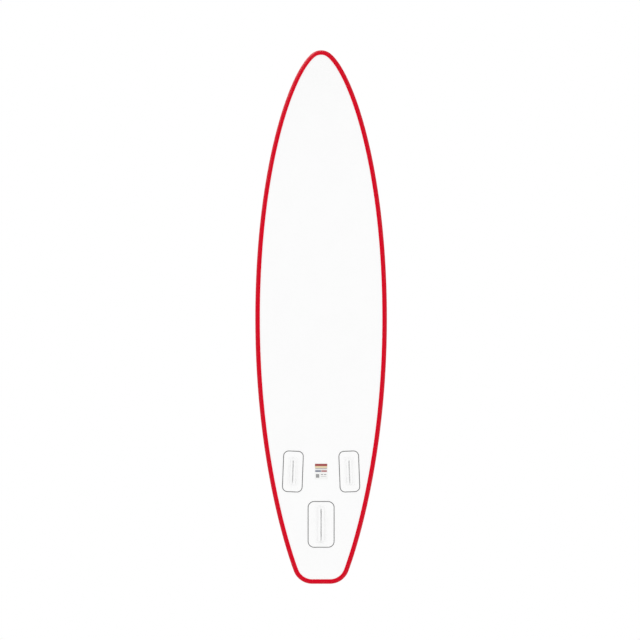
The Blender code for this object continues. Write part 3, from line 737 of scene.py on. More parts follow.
# Shape of the board


@dataclass(frozen=True)
class BoardShape:
    """Outline, side view and rail of the board, as the frame's solids have them."""

    length: float = 3.2
    half_width: float = 0.3946
    widest_y: float = 0.011
    nose_radius: float = 0.0887
    nose_sweep: float = math.radians(37.5)
    nose_pull: float = 0.173
    pull_ahead: float = 0.903
    pull_behind: float = 0.836
    tail_pull: float = 0.124
    tail_radius: float = 0.118
    tail_sweep: float = math.radians(69.5)
    tail_flat: float = 0.0533
    steps: tuple[int, int, int, int] = (4, 14, 11, 5)
    thickness: float = 0.150
    nose_rocker: float = 0.200
    nose_from: float = -0.55
    tail_slope: float = 0.040
    tail_bend: Pair = (0.20, 0.50)
    rail_reach: float = 0.0435
    skin_depth: float = 1.5 * MM

    @staticmethod
    def bezier(p0: Vector, p1: Vector, p2: Vector, p3: Vector, steps: int) -> Loop:
        """Points along a cubic curve from p0 to p3 with two handles, without its first."""
        pairs = [(t, 1 - t) for t in sweep(1.0, steps)[1:]]
        return [p0 * s**3 + p1 * (3 * s * s * t) + p2 * (3 * s * t * t) + p3 * t**3 for t, s in pairs]

    @lru_cache(maxsize=None)
    def outline(self, fine: int = 1) -> tuple[Vector, ...]:
        """The plan outline as a closed loop from the nose tip round by +X.

        Args:
            fine: How many times finer than the frame's solids the steps are.

        Returns:
            The loop's points, the same on both sides of the centreline.
        """
        nose_steps, ahead_steps, behind_steps, corner_steps = (s * fine for s in self.steps)
        end, bow, turn = self.length / 2, self.nose_sweep, self.tail_sweep
        nose = Vector((0, self.nose_radius - end))
        turns = sweep(bow, nose_steps)
        half = [nose + self.nose_radius * Vector((math.sin(a), -math.cos(a))) for a in turns]
        wide = Vector((self.half_width, self.widest_y))
        leaving = half[-1] + self.nose_pull * Vector((math.cos(bow), math.sin(bow)))
        half += self.bezier(half[-1], leaving, wide - Vector((0, self.pull_ahead)), wide, ahead_steps)
        corner = Vector((self.tail_flat, end - self.tail_radius))
        start = corner + self.tail_radius * Vector((math.sin(turn), math.cos(turn)))
        back = start + self.tail_pull * Vector((math.cos(turn), -math.sin(turn)))
        half += self.bezier(wide, wide + Vector((0, self.pull_behind)), back, start, behind_steps)
        turns = sweep(turn, corner_steps)[-2::-1]
        half += [corner + self.tail_radius * Vector((math.sin(a), math.cos(a))) for a in turns]
        return tuple(mirrored(half + [Vector((0, end))]))

    @lru_cache(maxsize=None)
    def inset(self, distance: float, fine: int = 1) -> tuple[Vector, ...]:
        """The outline moved inwards by a distance."""
        return tuple(offset(self.outline(fine), distance))

    def half_width_at(self, y: float, distance: float, fine: int = 4) -> float:
        """Half the board's width at y, a distance inside the outline."""
        loop = self.inset(distance, fine)
        return interpolate([(p.y, p.x) for p in loop[: len(loop) // 2]], y)

    def rocker(self, y: float) -> float:
        """Height of the hull's outer face above the floor.

        Args:
            y: Place along the board.

        Returns:
            The height.
        """
        if y < self.nose_from:
            return self.nose_rocker * ((self.nose_from - y) / (self.nose_from + self.length / 2)) ** 2
        start, straight = self.tail_bend
        bent = min(max(0.0, y - start), straight - start)
        return self.tail_slope * (bent**2 / (straight - start) / 2 + max(0.0, y - straight))

    @lru_cache(maxsize=None)
    def stations(self) -> tuple[Pair, ...]:
        """Places along the board, with their heights, between which the frame's solids run straight."""
        loop = self.inset(self.rail_reach)
        return tuple((p.y, self.rocker(p.y)) for p in loop[: len(loop) // 2 + 1])

    def level(self, y: float) -> float:
        """Height of the hull's outer face as the frame's solids have it."""
        return interpolate(self.stations(), y)

    def slope(self, y: float, exact: bool = False) -> float:
        """Rise of the board per metre towards the tail, smooth or as the frame's solids have it."""
        height, span = (self.rocker, MM) if exact else (self.level, 0.03)
        return (height(y + span) - height(y - span)) / (2 * span)

    def top(self, face: Face) -> float:
        """Height of a broad face above the hull's outer face."""
        return self.thickness if face is Face.DECK else 0.0

    def on(self, face: Face, point: Vector, h: float) -> Vector:
        """A point of a plan laid h outside the smooth deck or hull."""
        out = Vector((0, -self.slope(point.y, exact=True), 1)).normalized() * face.value
        return Vector((point.x, point.y, self.rocker(point.y) + self.top(face))) + h * out

    def laid(self, face: Face, loop: Iterable[Vector], h: float) -> Loop:
        """A loop in plan laid on the deck or hull at a height."""
        return [self.on(face, p, h) for p in loop]

    def frame(self, face: Face, x: float, y: float, turn: float = 0.0) -> Matrix:
        """The frame of what sits on the deck or hull: Z up through the board, Y to the tail."""
        tilt = spun(math.atan(self.slope(y)), "X") @ spun(turn)
        return Matrix.Translation((x, y, self.level(y) + self.top(face))) @ tilt

    def rail_loop(self, angle: float, depth: float, fine: int) -> Loop:
        """A loop round the rail.

        Args:
            angle: How far up from the rail's middle.
            depth: How far inside its outermost face.
            fine: How many times finer than the frame's solids the steps are.

        Returns:
            The loop's points.
        """
        inset = self.rail_reach - (self.rail_reach - depth) * math.cos(angle)
        middle = self.thickness / 2
        high = middle + (middle + self.skin_depth - depth) * math.sin(angle)
        return [Vector((p.x, p.y, self.rocker(p.y) + high)) for p in self.inset(inset, fine)]


SHAPE = BoardShape()


# Meshes


Ring = list[bmesh.types.BMVert]


class Skin:
    """A mesh under construction, built up from rows of points."""

    def __init__(self) -> None:
        """Starts an empty mesh."""
        self.mesh = bmesh.new()
        self.uv = self.mesh.loops.layers.uv.new(UV_NAME)

    def ring(self, points: Iterable[Vector]) -> Ring:
        """Adds a row of points."""
        return [self.mesh.verts.new(p) for p in points]

    def face(self, corners: Sequence[bmesh.types.BMVert], lie: Pairs = ()) -> None:
        """Adds a face to the mesh.

        Args:
            corners: Its corners.
            lie: Their places in the UV map, or none for their own in plan.
        """
        made = self.mesh.faces.new(corners)
        for loop, place in zip(made.loops, lie or [v.co.xy for v in corners]):
            loop[self.uv].uv = place

    def wall(self, levels: Sequence[tuple[Loop, float]]) -> list[tuple[Loop, Ring]]:
        """Joins loops in plan, each laid on the deck at its height.

        Args:
            levels: Each loop with its height.

        Returns:
            Each loop with its points in the mesh.
        """
        rings = [self.ring(SHAPE.laid(Face.DECK, flat, h)) for flat, h in levels]
        for low, high in zip(rings, rings[1:]):
            for i in range(len(low)):
                self.face((low[i - 1], low[i], high[i], high[i - 1]))
        return [(flat, ring) for (flat, _), ring in zip(levels, rings)]

    def fill(self, ring: Ring, across: bool, columns: int = 8) -> None:
        """Fills a loop with one face, or with rows straight across.

        Args:
            ring: The loop's points, mirrored in X where the rows go across.
            across: Whether there are rows.
            columns: Faces in each row.
        """
        if not across:
            self.face(ring)
            return
        half = len(ring) // 2
        rows = [[ring[0]]]
        for right, left in zip(ring[1:half], reversed(ring)):
            between = [right.co.lerp(left.co, k / columns) for k in range(1, columns)]
            rows.append([right, *self.ring(between), left])
        rows.append([ring[half]])
        for near, far in zip(rows, rows[1:]):
            for k in range(columns):
                spots = ((near, k), (near, k + 1), (far, k + 1), (far, k))
                self.face(list(dict.fromkeys(row[min(place, len(row) - 1)] for row, place in spots)))

    def fill_between(self, loops: Sequence[tuple[Loop, Ring]]) -> None:
        """Fills the first of some convex loops with triangles, apart from the loops inside it.

        Args:
            loops: Each loop in plan with its points in the mesh, the outer one first.
        """
        points, edges, owners, verts = [], [], [], []
        for number, (loop, ring) in enumerate(loops):
            start, count = len(points), len(loop)
            points += [p.to_2d() for p in loop]
            edges += [(start + i, start + (i + 1) % count) for i in range(count)]
            owners += [number] * count
            verts += ring
        _, _, faces, origins, _, _ = delaunay_2d_cdt(points, edges, [], 0, 1e-7)
        for face in faces:
            corners = [origins[i][0] for i in face]
            owner = {owners[i] for i in corners}
            middle = sum((points[i] for i in corners), Vector((0, 0))) / len(corners)
            if len(owner) > 1 or (owner == {0} and holds(loops[0][0], middle)):
                self.face([verts[i] for i in corners], [points[i] for i in corners])

    def object(self, name: str, sharp: float = 35.0) -> Piece:
        """Turns the skin into an object with its faces pointing out.

        Args:
            name: The object's name.
            sharp: Angle in degrees past which an edge stays sharp.

        Returns:
            The object, linked to the scene.
        """
        bmesh.ops.recalc_face_normals(self.mesh, faces=self.mesh.faces)
        data = bpy.data.meshes.new(name)
        self.mesh.to_mesh(data)
        self.mesh.free()
        data.shade_smooth()
        data.set_sharp_from_angle(angle=math.radians(sharp))
        return link(bpy.data.objects.new(name, data))


def distances(points: Sequence[Vector]) -> list[float]:
    """How far along a row of points each one is.

    Args:
        points: The points.

    Returns:
        A distance for each.
    """
    runs = [0.0]
    for a, b in zip(points, points[1:]):
        runs.append(runs[-1] + (b - a).length)
    return runs


def link(made: Piece) -> Piece:
    """Puts an object into the scene."""
    bpy.context.scene.collection.objects.link(made)
    return made


def discard(*helpers: Piece) -> None:
    """Removes helper objects."""
    for helper in helpers:
        bpy.data.objects.remove(helper)


def moved(place: Matrix, points: Iterable[Vector]) -> Loop:
    """Points taken from a local frame to the board's."""
    return [place @ p.to_3d() for p in points]


def spun(angle: float, axis: str = "Z") -> Matrix:
    """A turn about an axis of a frame."""
    return Matrix.Rotation(angle, 4, axis)


def circle(radius: float, z: float, sides: int) -> Loop:
    """A level circle of points."""
    return [Vector((radius * math.cos(a), radius * math.sin(a), z)) for a in sweep(math.tau, sides)[:-1]]


def ring_section(middle: Vector, out: Vector, radius: float, sides: int) -> Loop:
    """A circle that stands on edge in the plane of Z and a way out."""
    return [middle.to_3d() + out.to_3d() * p.x + Vector((0, 0, p.y)) for p in circle(radius, 0, sides)]


def lofted(
    name: str, loops: Sequence[Iterable[Vector]], closed: bool = False, across: bool = False,
    sharp: float = 35.0,
) -> Piece:
    """A piece from loops of equal length, with a UV map in metres round and along them.

    Args:
        name: The piece's name.
        loops: The loops, in order.
        closed: Whether the last loop joins the first.
        across: Whether the ends are filled in rows across, or each with one face.
        sharp: Angle in degrees past which an edge stays sharp.

    Returns:
        The piece.
    """
    skin = Skin()
    rings = [skin.ring(loop) for loop in loops]
    edge, count = rings[0], len(rings[0])
    girth = distances([v.co for v in [*edge, edge[0]]])
    middles = [sum((v.co for v in ring), Vector()) / count for ring in rings]
    runs = [max(a, b) for a, b in zip(distances(middles), distances([ring[0].co for ring in rings]))]
    order = list(range(len(rings))) + ([0] if closed else [])
    for step, (k, m) in enumerate(zip(order, order[1:])):
        low, high = rings[k], rings[m]
        v0, v1 = runs[step], runs[min(step + 1, len(runs) - 1)]
        for i in range(count):
            j, u0, u1 = (i + 1) % count, girth[i], girth[i + 1]
            skin.face((low[i], low[j], high[j], high[i]), ((u0, v0), (u1, v0), (u1, v1), (u0, v1)))
    for ring in () if closed else (rings[0], rings[-1]):
        skin.fill(ring, across)
    return skin.object(name, sharp)


def turned(name: str, profile: Pairs, place: Matrix, sides: int = 96, closed: bool = True) -> Piece:
    """A turned piece from its profile of (radius, height) in millimetres, closed or solid up its axis."""
    return lofted(name, [moved(place, circle(r * MM, z * MM, sides)) for r, z in profile], closed)


def plate(name: str, face: Face, levels: Iterable[tuple[Loop, float]], settled: bool = False) -> Piece:
    """A thin plate on the deck or hull.

    Args:
        name: The piece's name.
        face: What it lies on.
        levels: Each loop in plan up its side, with its height.
        settled: Whether its top lies level with the frame's solids.

    Returns:
        The piece.
    """
    loops = []
    for flat, h in levels:
        lifts = [SHAPE.level(p.y) - SHAPE.rocker(p.y) if settled and h > 0 else 0.0 for p in flat]
        loops.append([SHAPE.on(face, p, h + lift) for p, lift in zip(flat, lifts)])
    return lofted(name, loops, across=True, sharp=50)


def bar(name: str, outline: Pairs, ends: Pair, place: Matrix, edge: float = 0.0) -> Piece:
    """A bar along Y.

    Args:
        name: The object's name.
        outline: The section as (x, z), in metres.
        ends: Where it starts and ends.
        place: The frame that it lies in.
        edge: Radius of the edges round its two ends.

    Returns:
        The bar.
    """
    middle = Vector((sum(x for x, _ in outline), sum(z for _, z in outline))) / len(outline)
    turns = sweep(math.pi / 2, 3) if edge else [math.pi / 2]
    draws = [(edge * (1 - math.cos(a)), edge * (1 - math.sin(a))) for a in turns]
    stations = [(ends[0] + run, draw) for run, draw in draws]
    stations += [(ends[1] - run, draw) for run, draw in reversed(draws)]
    loops = []
    for y, draw in stations:
        arms = [Vector(p) - middle for p in outline]
        drawn = [middle + arm * (1 - draw / arm.length) for arm in arms]
        loops.append(moved(place, [Vector((p.x, y, p.y)) for p in drawn]))
    return lofted(name, loops)


def pellet(length: float, width: float, height: float) -> Piece:
    """A small rounded bar along X that sits on Z 0: a stitch, a rib or a ridge.

    Args:
        length: Size along X.
        width: Size along Y.
        height: Height above Z 0.

    Returns:
        The bar.
    """
    loops = []
    for a in sweep(math.pi, 4):
        x, grow = -math.cos(a) * length / 2, max(0.25, math.sin(a)) ** 0.5
        loops.append([Vector((x, p.x * width / 2 * grow, p.y * height * grow)) for p in circle(1.0, 0, 6)])
    return lofted("pellet", loops, sharp=60)


def applied(made: Piece) -> Piece:
    """Turns what an object's modifiers give into its plain mesh, closed and with its faces outwards.

    Args:
        made: The object, which loses its modifiers.

    Returns:
        The same object.
    """
    graph = bpy.context.evaluated_depsgraph_get()
    old = made.data
    made.data = bpy.data.meshes.new_from_object(made.evaluated_get(graph), depsgraph=graph)
    made.modifiers.clear()
    bpy.data.meshes.remove(old)
    shape = bmesh.new()
    shape.from_mesh(made.data)
    bmesh.ops.remove_doubles(shape, verts=shape.verts, dist=0.001 * MM)
    bmesh.ops.holes_fill(shape, edges=[edge for edge in shape.edges if edge.is_boundary], sides=4)
    bmesh.ops.recalc_face_normals(shape, faces=shape.faces)
    shape.to_mesh(made.data)
    shape.free()
    made.data.set_sharp_from_angle(angle=math.radians(35))
    return made


def combined(made: Piece, tools: Sequence[Piece], operation: str) -> Piece:
    """Cuts helpers from a piece or joins them on, and removes them.

    Args:
        made: The piece.
        tools: The helpers.
        operation: DIFFERENCE or UNION.

    Returns:
        The piece.
    """
    for tool in tools:
        modifier = made.modifiers.new("cut", "BOOLEAN")
        modifier.operation = operation
        modifier.solver = "EXACT"
        modifier.object = tool
    applied(made)
    discard(*tools)
    return made


def merged(name: str, parts: Sequence[Piece]) -> Piece:
    """Objects joined into one mesh, side by side, with the first one's materials.

    Args:
        name: The new object's name.
        parts: The objects, which are removed.

    Returns:
        The new object.
    """
    shape = bmesh.new()
    shape.loops.layers.uv.new(UV_NAME)
    for part in parts:
        shape.from_mesh(part.data)
    data = bpy.data.meshes.new(name)
    shape.to_mesh(data)
    shape.free()
    for material in parts[0].data.materials:
        data.materials.append(material)
    discard(*parts)
    data.set_sharp_from_angle(angle=math.radians(35))
    return link(bpy.data.objects.new(name, data))


# Geometry Nodes


def shape_of(graph: Graph, given: Wire) -> Wire:
    """The geometry of an object that a tree is given."""
    return graph.get("GeometryNodeObjectInfo", {"Object": given}, output="Geometry")


def copies(graph: Graph, points: Any, item: Wire, turn: Wire) -> Wires:
    """An object repeated at points, with a turn for each."""
    inputs = {"Points": points, "Instance": shape_of(graph, item), "Rotation": turn}
    return {"Geometry": graph.get("GeometryNodeInstanceOnPoints", inputs)}


def repeat_nodes(graph: Graph, given: Wires) -> Wires:
    """Copies of an item at even steps along a path, each turned to the path and to the way up.

    Args:
        graph: The tree's graph.
        given: Path, Item, Spacing and Up.

    Returns:
        The copies.
    """
    spread = {"Curve": shape_of(graph, given["Path"]), "Length": given["Spacing"]}
    points = graph.add("GeometryNodeCurveToPoints", spread, mode="LENGTH").outputs
    ways = {0: points["Tangent"], 1: given["Up"]}
    turn = graph.get("FunctionNodeAxesToRotation", ways, primary_axis="X", secondary_axis="Z")
    return copies(graph, points["Points"], given["Item"], turn)


def stud_nodes(graph: Graph, given: Wires) -> Wires:
    """Studs in staggered rows, dropped onto a pad wherever they fall inside its field.

    Args:
        graph: The tree's graph.
        given: Field, Item, Width, Length, Pitch and Centre.

    Returns:
        The studs.
    """
    width, length, pitch = given["Width"], given["Length"], given["Pitch"]
    rows = (length / (pitch * 0.5)).floor()
    size = {"Size X": width, "Size Y": length, "Vertices X": (width / pitch).floor(), "Vertices Y": rows}
    odd = graph.get("GeometryNodeInputIndex") % rows % 2.0
    shift = graph.vector("ADD", graph.join(odd * (pitch * 0.5), 0.0, 0.0), given["Centre"])
    grid = {"Geometry": graph.get("GeometryNodeMeshGrid", size), "Offset": shift}
    field = shape_of(graph, given["Field"])
    ray = {"Target Geometry": field, "Ray Direction": (0.0, 0.0, -1.0), "Ray Length": 1.0}
    hit = graph.add("GeometryNodeRaycast", ray).outputs
    missed = graph.get("FunctionNodeBooleanMath", {0: hit["Is Hit"]}, operation="NOT")
    above = {"Geometry": graph.get("GeometryNodeSetPosition", grid), "Selection": missed}
    landing = {"Geometry": graph.get("GeometryNodeDeleteGeometry", above), "Position": hit["Hit Position"]}
    landed = graph.get("GeometryNodeSetPosition", landing)
    lifted = graph.vector("ADD", graph.get("GeometryNodeInputPosition"), (0.0, 0.0, 0.05))
    facing = graph.get("GeometryNodeRaycast", {**ray, "Source Position": lifted}, output="Hit Normal")
    turn = graph.get("FunctionNodeAlignRotationToVector", {"Vector": facing}, axis="Z")
    return copies(graph, landed, given["Item"], turn)


def rocker(given: Wires, y: Wire) -> Wire:
    """Height of the hull above the floor at a place along the board.

    Args:
        given: The rail tree's inputs.
        y: The place.

    Returns:
        The height.
    """
    length = given["Bend length"]
    ahead = (given["Nose from"] - y).math("MAXIMUM", 0.0)
    nose = given["Nose rocker"] * (ahead / given["Nose length"]) ** 2.0
    past = (y - given["Bend from"]).math("MAXIMUM", 0.0)
    curve = past.math("MINIMUM", length) ** 2.0 / (length * 2.0)
    return nose + given["Tail slope"] * (curve + (past - length).math("MAXIMUM", 0.0))


def rail_nodes(graph: Graph, given: Wires) -> Wires:
    """A closed section of (angle, depth) carried round the rail along the board's outline.

    Args:
        graph: The tree's graph.
        given: Outline, Section, Reach, Half height, Middle, Girth, Section width and rocker's inputs.

    Returns:
        The strip.
    """
    outline, section = (shape_of(graph, given[label]) for label in ("Outline", "Section"))
    measure = {"kind": "GeometryNodeAttributeDomainSize", "output": "Point Count", "component": "CURVE"}
    along, round_it = (graph.get(inputs={"Geometry": curve}, **measure) for curve in (outline, section))
    rows = round_it + 1.0
    grid = graph.add("GeometryNodeMeshGrid", {"Vertices X": along + 1.0, "Vertices Y": rows}).outputs
    lie = graph.vector("MULTIPLY", grid["UV Map"], graph.join(given["Girth"], given["Section width"], 0.0))
    naming = {"Geometry": grid["Mesh"], "Name": UV_NAME, "Value": lie}
    sheet = graph.get("GeometryNodeStoreNamedAttribute", naming, data_type="FLOAT2", domain="CORNER")
    number, spot = graph.get("GeometryNodeInputIndex"), graph.get("GeometryNodeInputPosition")
    column = ((number + 0.5) / rows).floor()
    station, step = column % along, (number - column * rows) % round_it

    def taken(curve: Wire, value: Wire, index: Wire) -> list[Wire]:
        """The parts of a curve's own value at one of its points.

        Args:
            curve: The curve.
            value: The value.
            index: The point.

        Returns:
            Its X, Y and Z.
        """
        inputs = {"Geometry": curve, "Value": value, "Index": index}
        settings = {"data_type": "FLOAT_VECTOR", "domain": "POINT"}
        return graph.split(graph.get("GeometryNodeSampleIndex", inputs, **settings))

    angle, depth, _ = taken(section, spot, step)
    forward_x, forward_y, _ = taken(outline, graph.get("GeometryNodeInputTangent"), station)
    start_x, start_y, _ = taken(outline, spot, station)
    inset = given["Reach"] - (given["Reach"] - depth) * angle.cosine()
    x, y = start_x - forward_y * inset, start_y + forward_x * inset
    z = rocker(given, y) + given["Middle"] + (given["Half height"] - depth) * angle.sine()
    made = graph.get("GeometryNodeSetPosition", {"Geometry": sheet, "Position": graph.join(x, y, z)})
    shut = graph.get("GeometryNodeMergeByDistance", {"Geometry": made, "Distance": 0.02 * MM})
    return {"Geometry": graph.get("GeometryNodeSetShadeSmooth", {"Geometry": shut})}


def grown(name: str, finish: Finish, build: GroupBuilder, values: dict[str, Any]) -> Piece:
    """Runs a geometry tree on an object of its own, for a piece that repeats or follows a rule.

    Args:
        name: The new piece's name.
        finish: Its finish.
        build: Adds the tree's own nodes, on first use.
        values: Values for the tree's inputs: objects, numbers and vectors.

    Returns:
        The piece as a plain mesh.
    """

    def finished(graph: Graph, given: Wires) -> Wires:
        """Adds the nodes that every tree ends in.

        Args:
            graph: The tree.
            given: Its inputs.

        Returns:
            Its outputs.
        """
        real = graph.get("GeometryNodeRealizeInstances", build(graph, given))
        dressed = {"Geometry": real, "Material": given["Material"]}
        return {"Geometry": graph.get("GeometryNodeSetMaterial", dressed)}

    kinds = {bpy.types.Object: "OBJECT", float: "FLOAT", tuple: "VECTOR"}
    sockets = {label: kinds[type(value)] for label, value in values.items()}
    sockets = {"Geometry": "GEOMETRY", **sockets, "Material": "MATERIAL"}
    made = link(bpy.data.objects.new(name, bpy.data.meshes.new(name)))
    modifier = made.modifiers.new("growth", "NODES")
    tree = make_group(build.__name__, "GeometryNodeTree", sockets, {"Geometry": "GEOMETRY"}, finished)
    modifier.node_group = tree
    keys = {item.name: item.identifier for item in tree.interface.items_tree if item.in_out == "INPUT"}
    for label, value in {**values, "Material": finish.material()}.items():
        modifier[keys[label]] = value
    applied(made)
    made.data.name = name
    return made


def path_of(points: Sequence[Vector], closed: bool = False) -> Piece:
    """A curve through points, as a guide for a geometry tree.

    Args:
        points: The points.
        closed: Whether the last one joins the first.

    Returns:
        The curve's object.
    """
    curve = bpy.data.curves.new("path", "CURVE")
    curve.dimensions = "3D"
    spline = curve.splines.new("POLY")
    spline.points.add(len(points) - 1)
    for target, point in zip(spline.points, points):
        target.co = (*point.to_3d(), 1.0)
    spline.use_cyclic_u = closed
    return link(bpy.data.objects.new("path", curve))


def repeated(
    finish: Finish, item: Piece, paths: Iterable[Loop], up: Vector, spacing: float = 1.0, closed: bool = False
) -> list[Piece]:
    """Rows of an item along paths, one object for each path.

    Args:
        finish: Their finish.
        item: The thing that is repeated, long side on X, which is removed afterwards.
        paths: The paths, as rows of points.
        up: The way that the item's Z points.
        spacing: Step between copies, for more than the one at the start of a short path.
        closed: Whether the paths close.

    Returns:
        The rows.
    """
    made = []
    for points in paths:
        path = path_of(points, closed)
        values = {"Path": path, "Item": item, "Spacing": spacing, "Up": tuple(up)}
        made.append(grown("row", finish, repeat_nodes, values))
        discard(path)
    discard(item)
    return made


# Sub-assemblies


class SubAssembly:
    """What the sub-assemblies share: the frame's solids, and how a finished piece is handed over."""

    nodes: ClassVar[dict[str, Piece]] = {}

    def finish(
        self, made: Piece, look: Finish, body: str, *stands_for: str, fill: float | None = None
    ) -> Piece:
        """Dresses a piece and fixes it to its body.

        Args:
            made: The piece, in place.
            look: Its finish.
            body: The body that it moves with.
            stands_for: The frame's solids that it replaces.
            fill: How tightly it is stuffed, for a padded piece; not used.

        Returns:
            The piece.
        """
        self.paint(made, look)
        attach(made, body)
        if stands_for:
            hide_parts(*stands_for)
        LOG.info("%s: %d faces, on %s", made.name, len(made.data.polygons), body)
        return made

    def dress(self, look: Finish, *names: str) -> None:
        """Gives solids of the frame a finish of their own.

        Args:
            look: The finish.
            names: The solids.
        """
        for name in names:
            self.paint(self.nodes[name], look)
            LOG.info("%s: the frame's own solid", name)

    @staticmethod
    def paint(made: Piece, look: Finish) -> None:
        """Gives an object one finish all over."""
        made.data.materials.clear()
        made.data.materials.append(look.material())

    def build(self) -> None:
        """Builds and dresses the sub-assembly's pieces round the frame's solids."""
        raise NotImplementedError


@dataclass
class Hull(SubAssembly):
    """The coated skins, the rail band and the woven core."""

    fine: int = 4
    skin: float = 1.2 * MM
    wrap_to: float = math.radians(56.0)
    wrap_steps: int = 9
    band_edge: float = math.radians(68.4)
    band_steps: int = 28
    band_foot: float = 1.4 * MM
    valve_hole: Pairs = ((22.4, -12), (22.4, 12))
    valve_y: float = 1.345

    def build(self) -> None:
        """Builds the skins and the band, and dresses the core and the tape."""
        self.finish(self.fabric("hull_fabric", Face.HULL), PALETTE.hull, "board", "hull_skin")
        deck = self.fabric("deck_fabric", Face.DECK)
        cut = turned("valve_cut", self.valve_hole, SHAPE.frame(Face.DECK, 0, self.valve_y), closed=False)
        self.finish(combined(deck, [cut], "DIFFERENCE"), PALETTE.hull, "board", "deck_skin")
        self.finish(self.band(), PALETTE.band, "board", "outer_rail_band")
        self.dress(PALETTE.cloth, "drop_stitch_core")
        self.dress(PALETTE.hull, "inner_rail_tape")

    def fabric(self, name: str, face: Face) -> Piece:
        """One skin, flat across the board and wrapped round the rail until it is under the band.

        Args:
            name: The piece's name.
            face: The side of the board that it covers.

        Returns:
            The skin.
        """
        angles = [math.pi / 2 + turn for turn in sweep(self.wrap_to - math.pi / 2, self.wrap_steps)]
        there = [(a, SHAPE.skin_depth + self.skin) for a in angles]
        back = [(a, SHAPE.skin_depth) for a in reversed(angles)]
        loops = [SHAPE.rail_loop(face.value * angle, depth, self.fine) for angle, depth in there + back]
        return lofted(name, loops, across=True, sharp=50)

    def section(self) -> Loop:
        """The band's closed section as (angle, depth), its edges rounded down onto the skin.

        Returns:
            The section's points.
        """
        foot, rest, end = self.band_foot / (SHAPE.thickness / 2), SHAPE.skin_depth, self.band_edge
        edge = [Vector((foot * math.sin(a) - end, rest * math.cos(a))) for a in sweep(math.pi / 2, 4)]
        angles = [foot - end + run for run in sweep(2 * (end - foot), self.band_steps)[1:-1]]
        across = [Vector((a, 0.0)) for a in angles]
        back = [Vector((-a, rest + 0.2 * MM)) for a in (-end, *angles[3::4], end)]
        return edge + across + flipped(edge) + back

    def band(self) -> Piece:
        """The red band, carried round the rail by the rail tree.

        Returns:
            The band.
        """
        edge = SHAPE.outline(self.fine)
        guides = path_of(edge, closed=True), path_of(self.section(), closed=True)
        start, straight = SHAPE.tail_bend
        values = {
            "Outline": guides[0],
            "Section": guides[1],
            "Reach": SHAPE.rail_reach,
            "Half height": SHAPE.thickness / 2 + SHAPE.skin_depth,
            "Middle": SHAPE.thickness / 2,
            "Girth": distances([*edge, edge[0]])[-1],
            "Section width": SHAPE.thickness * 2.4,
            "Nose from": SHAPE.nose_from,
            "Nose length": SHAPE.nose_from + SHAPE.length / 2,
            "Nose rocker": SHAPE.nose_rocker,
            "Bend from": start,
            "Bend length": straight - start,
            "Tail slope": SHAPE.tail_slope,
        }
        made = grown("rail_band", PALETTE.band, rail_nodes, values)
        discard(*guides)
        return made


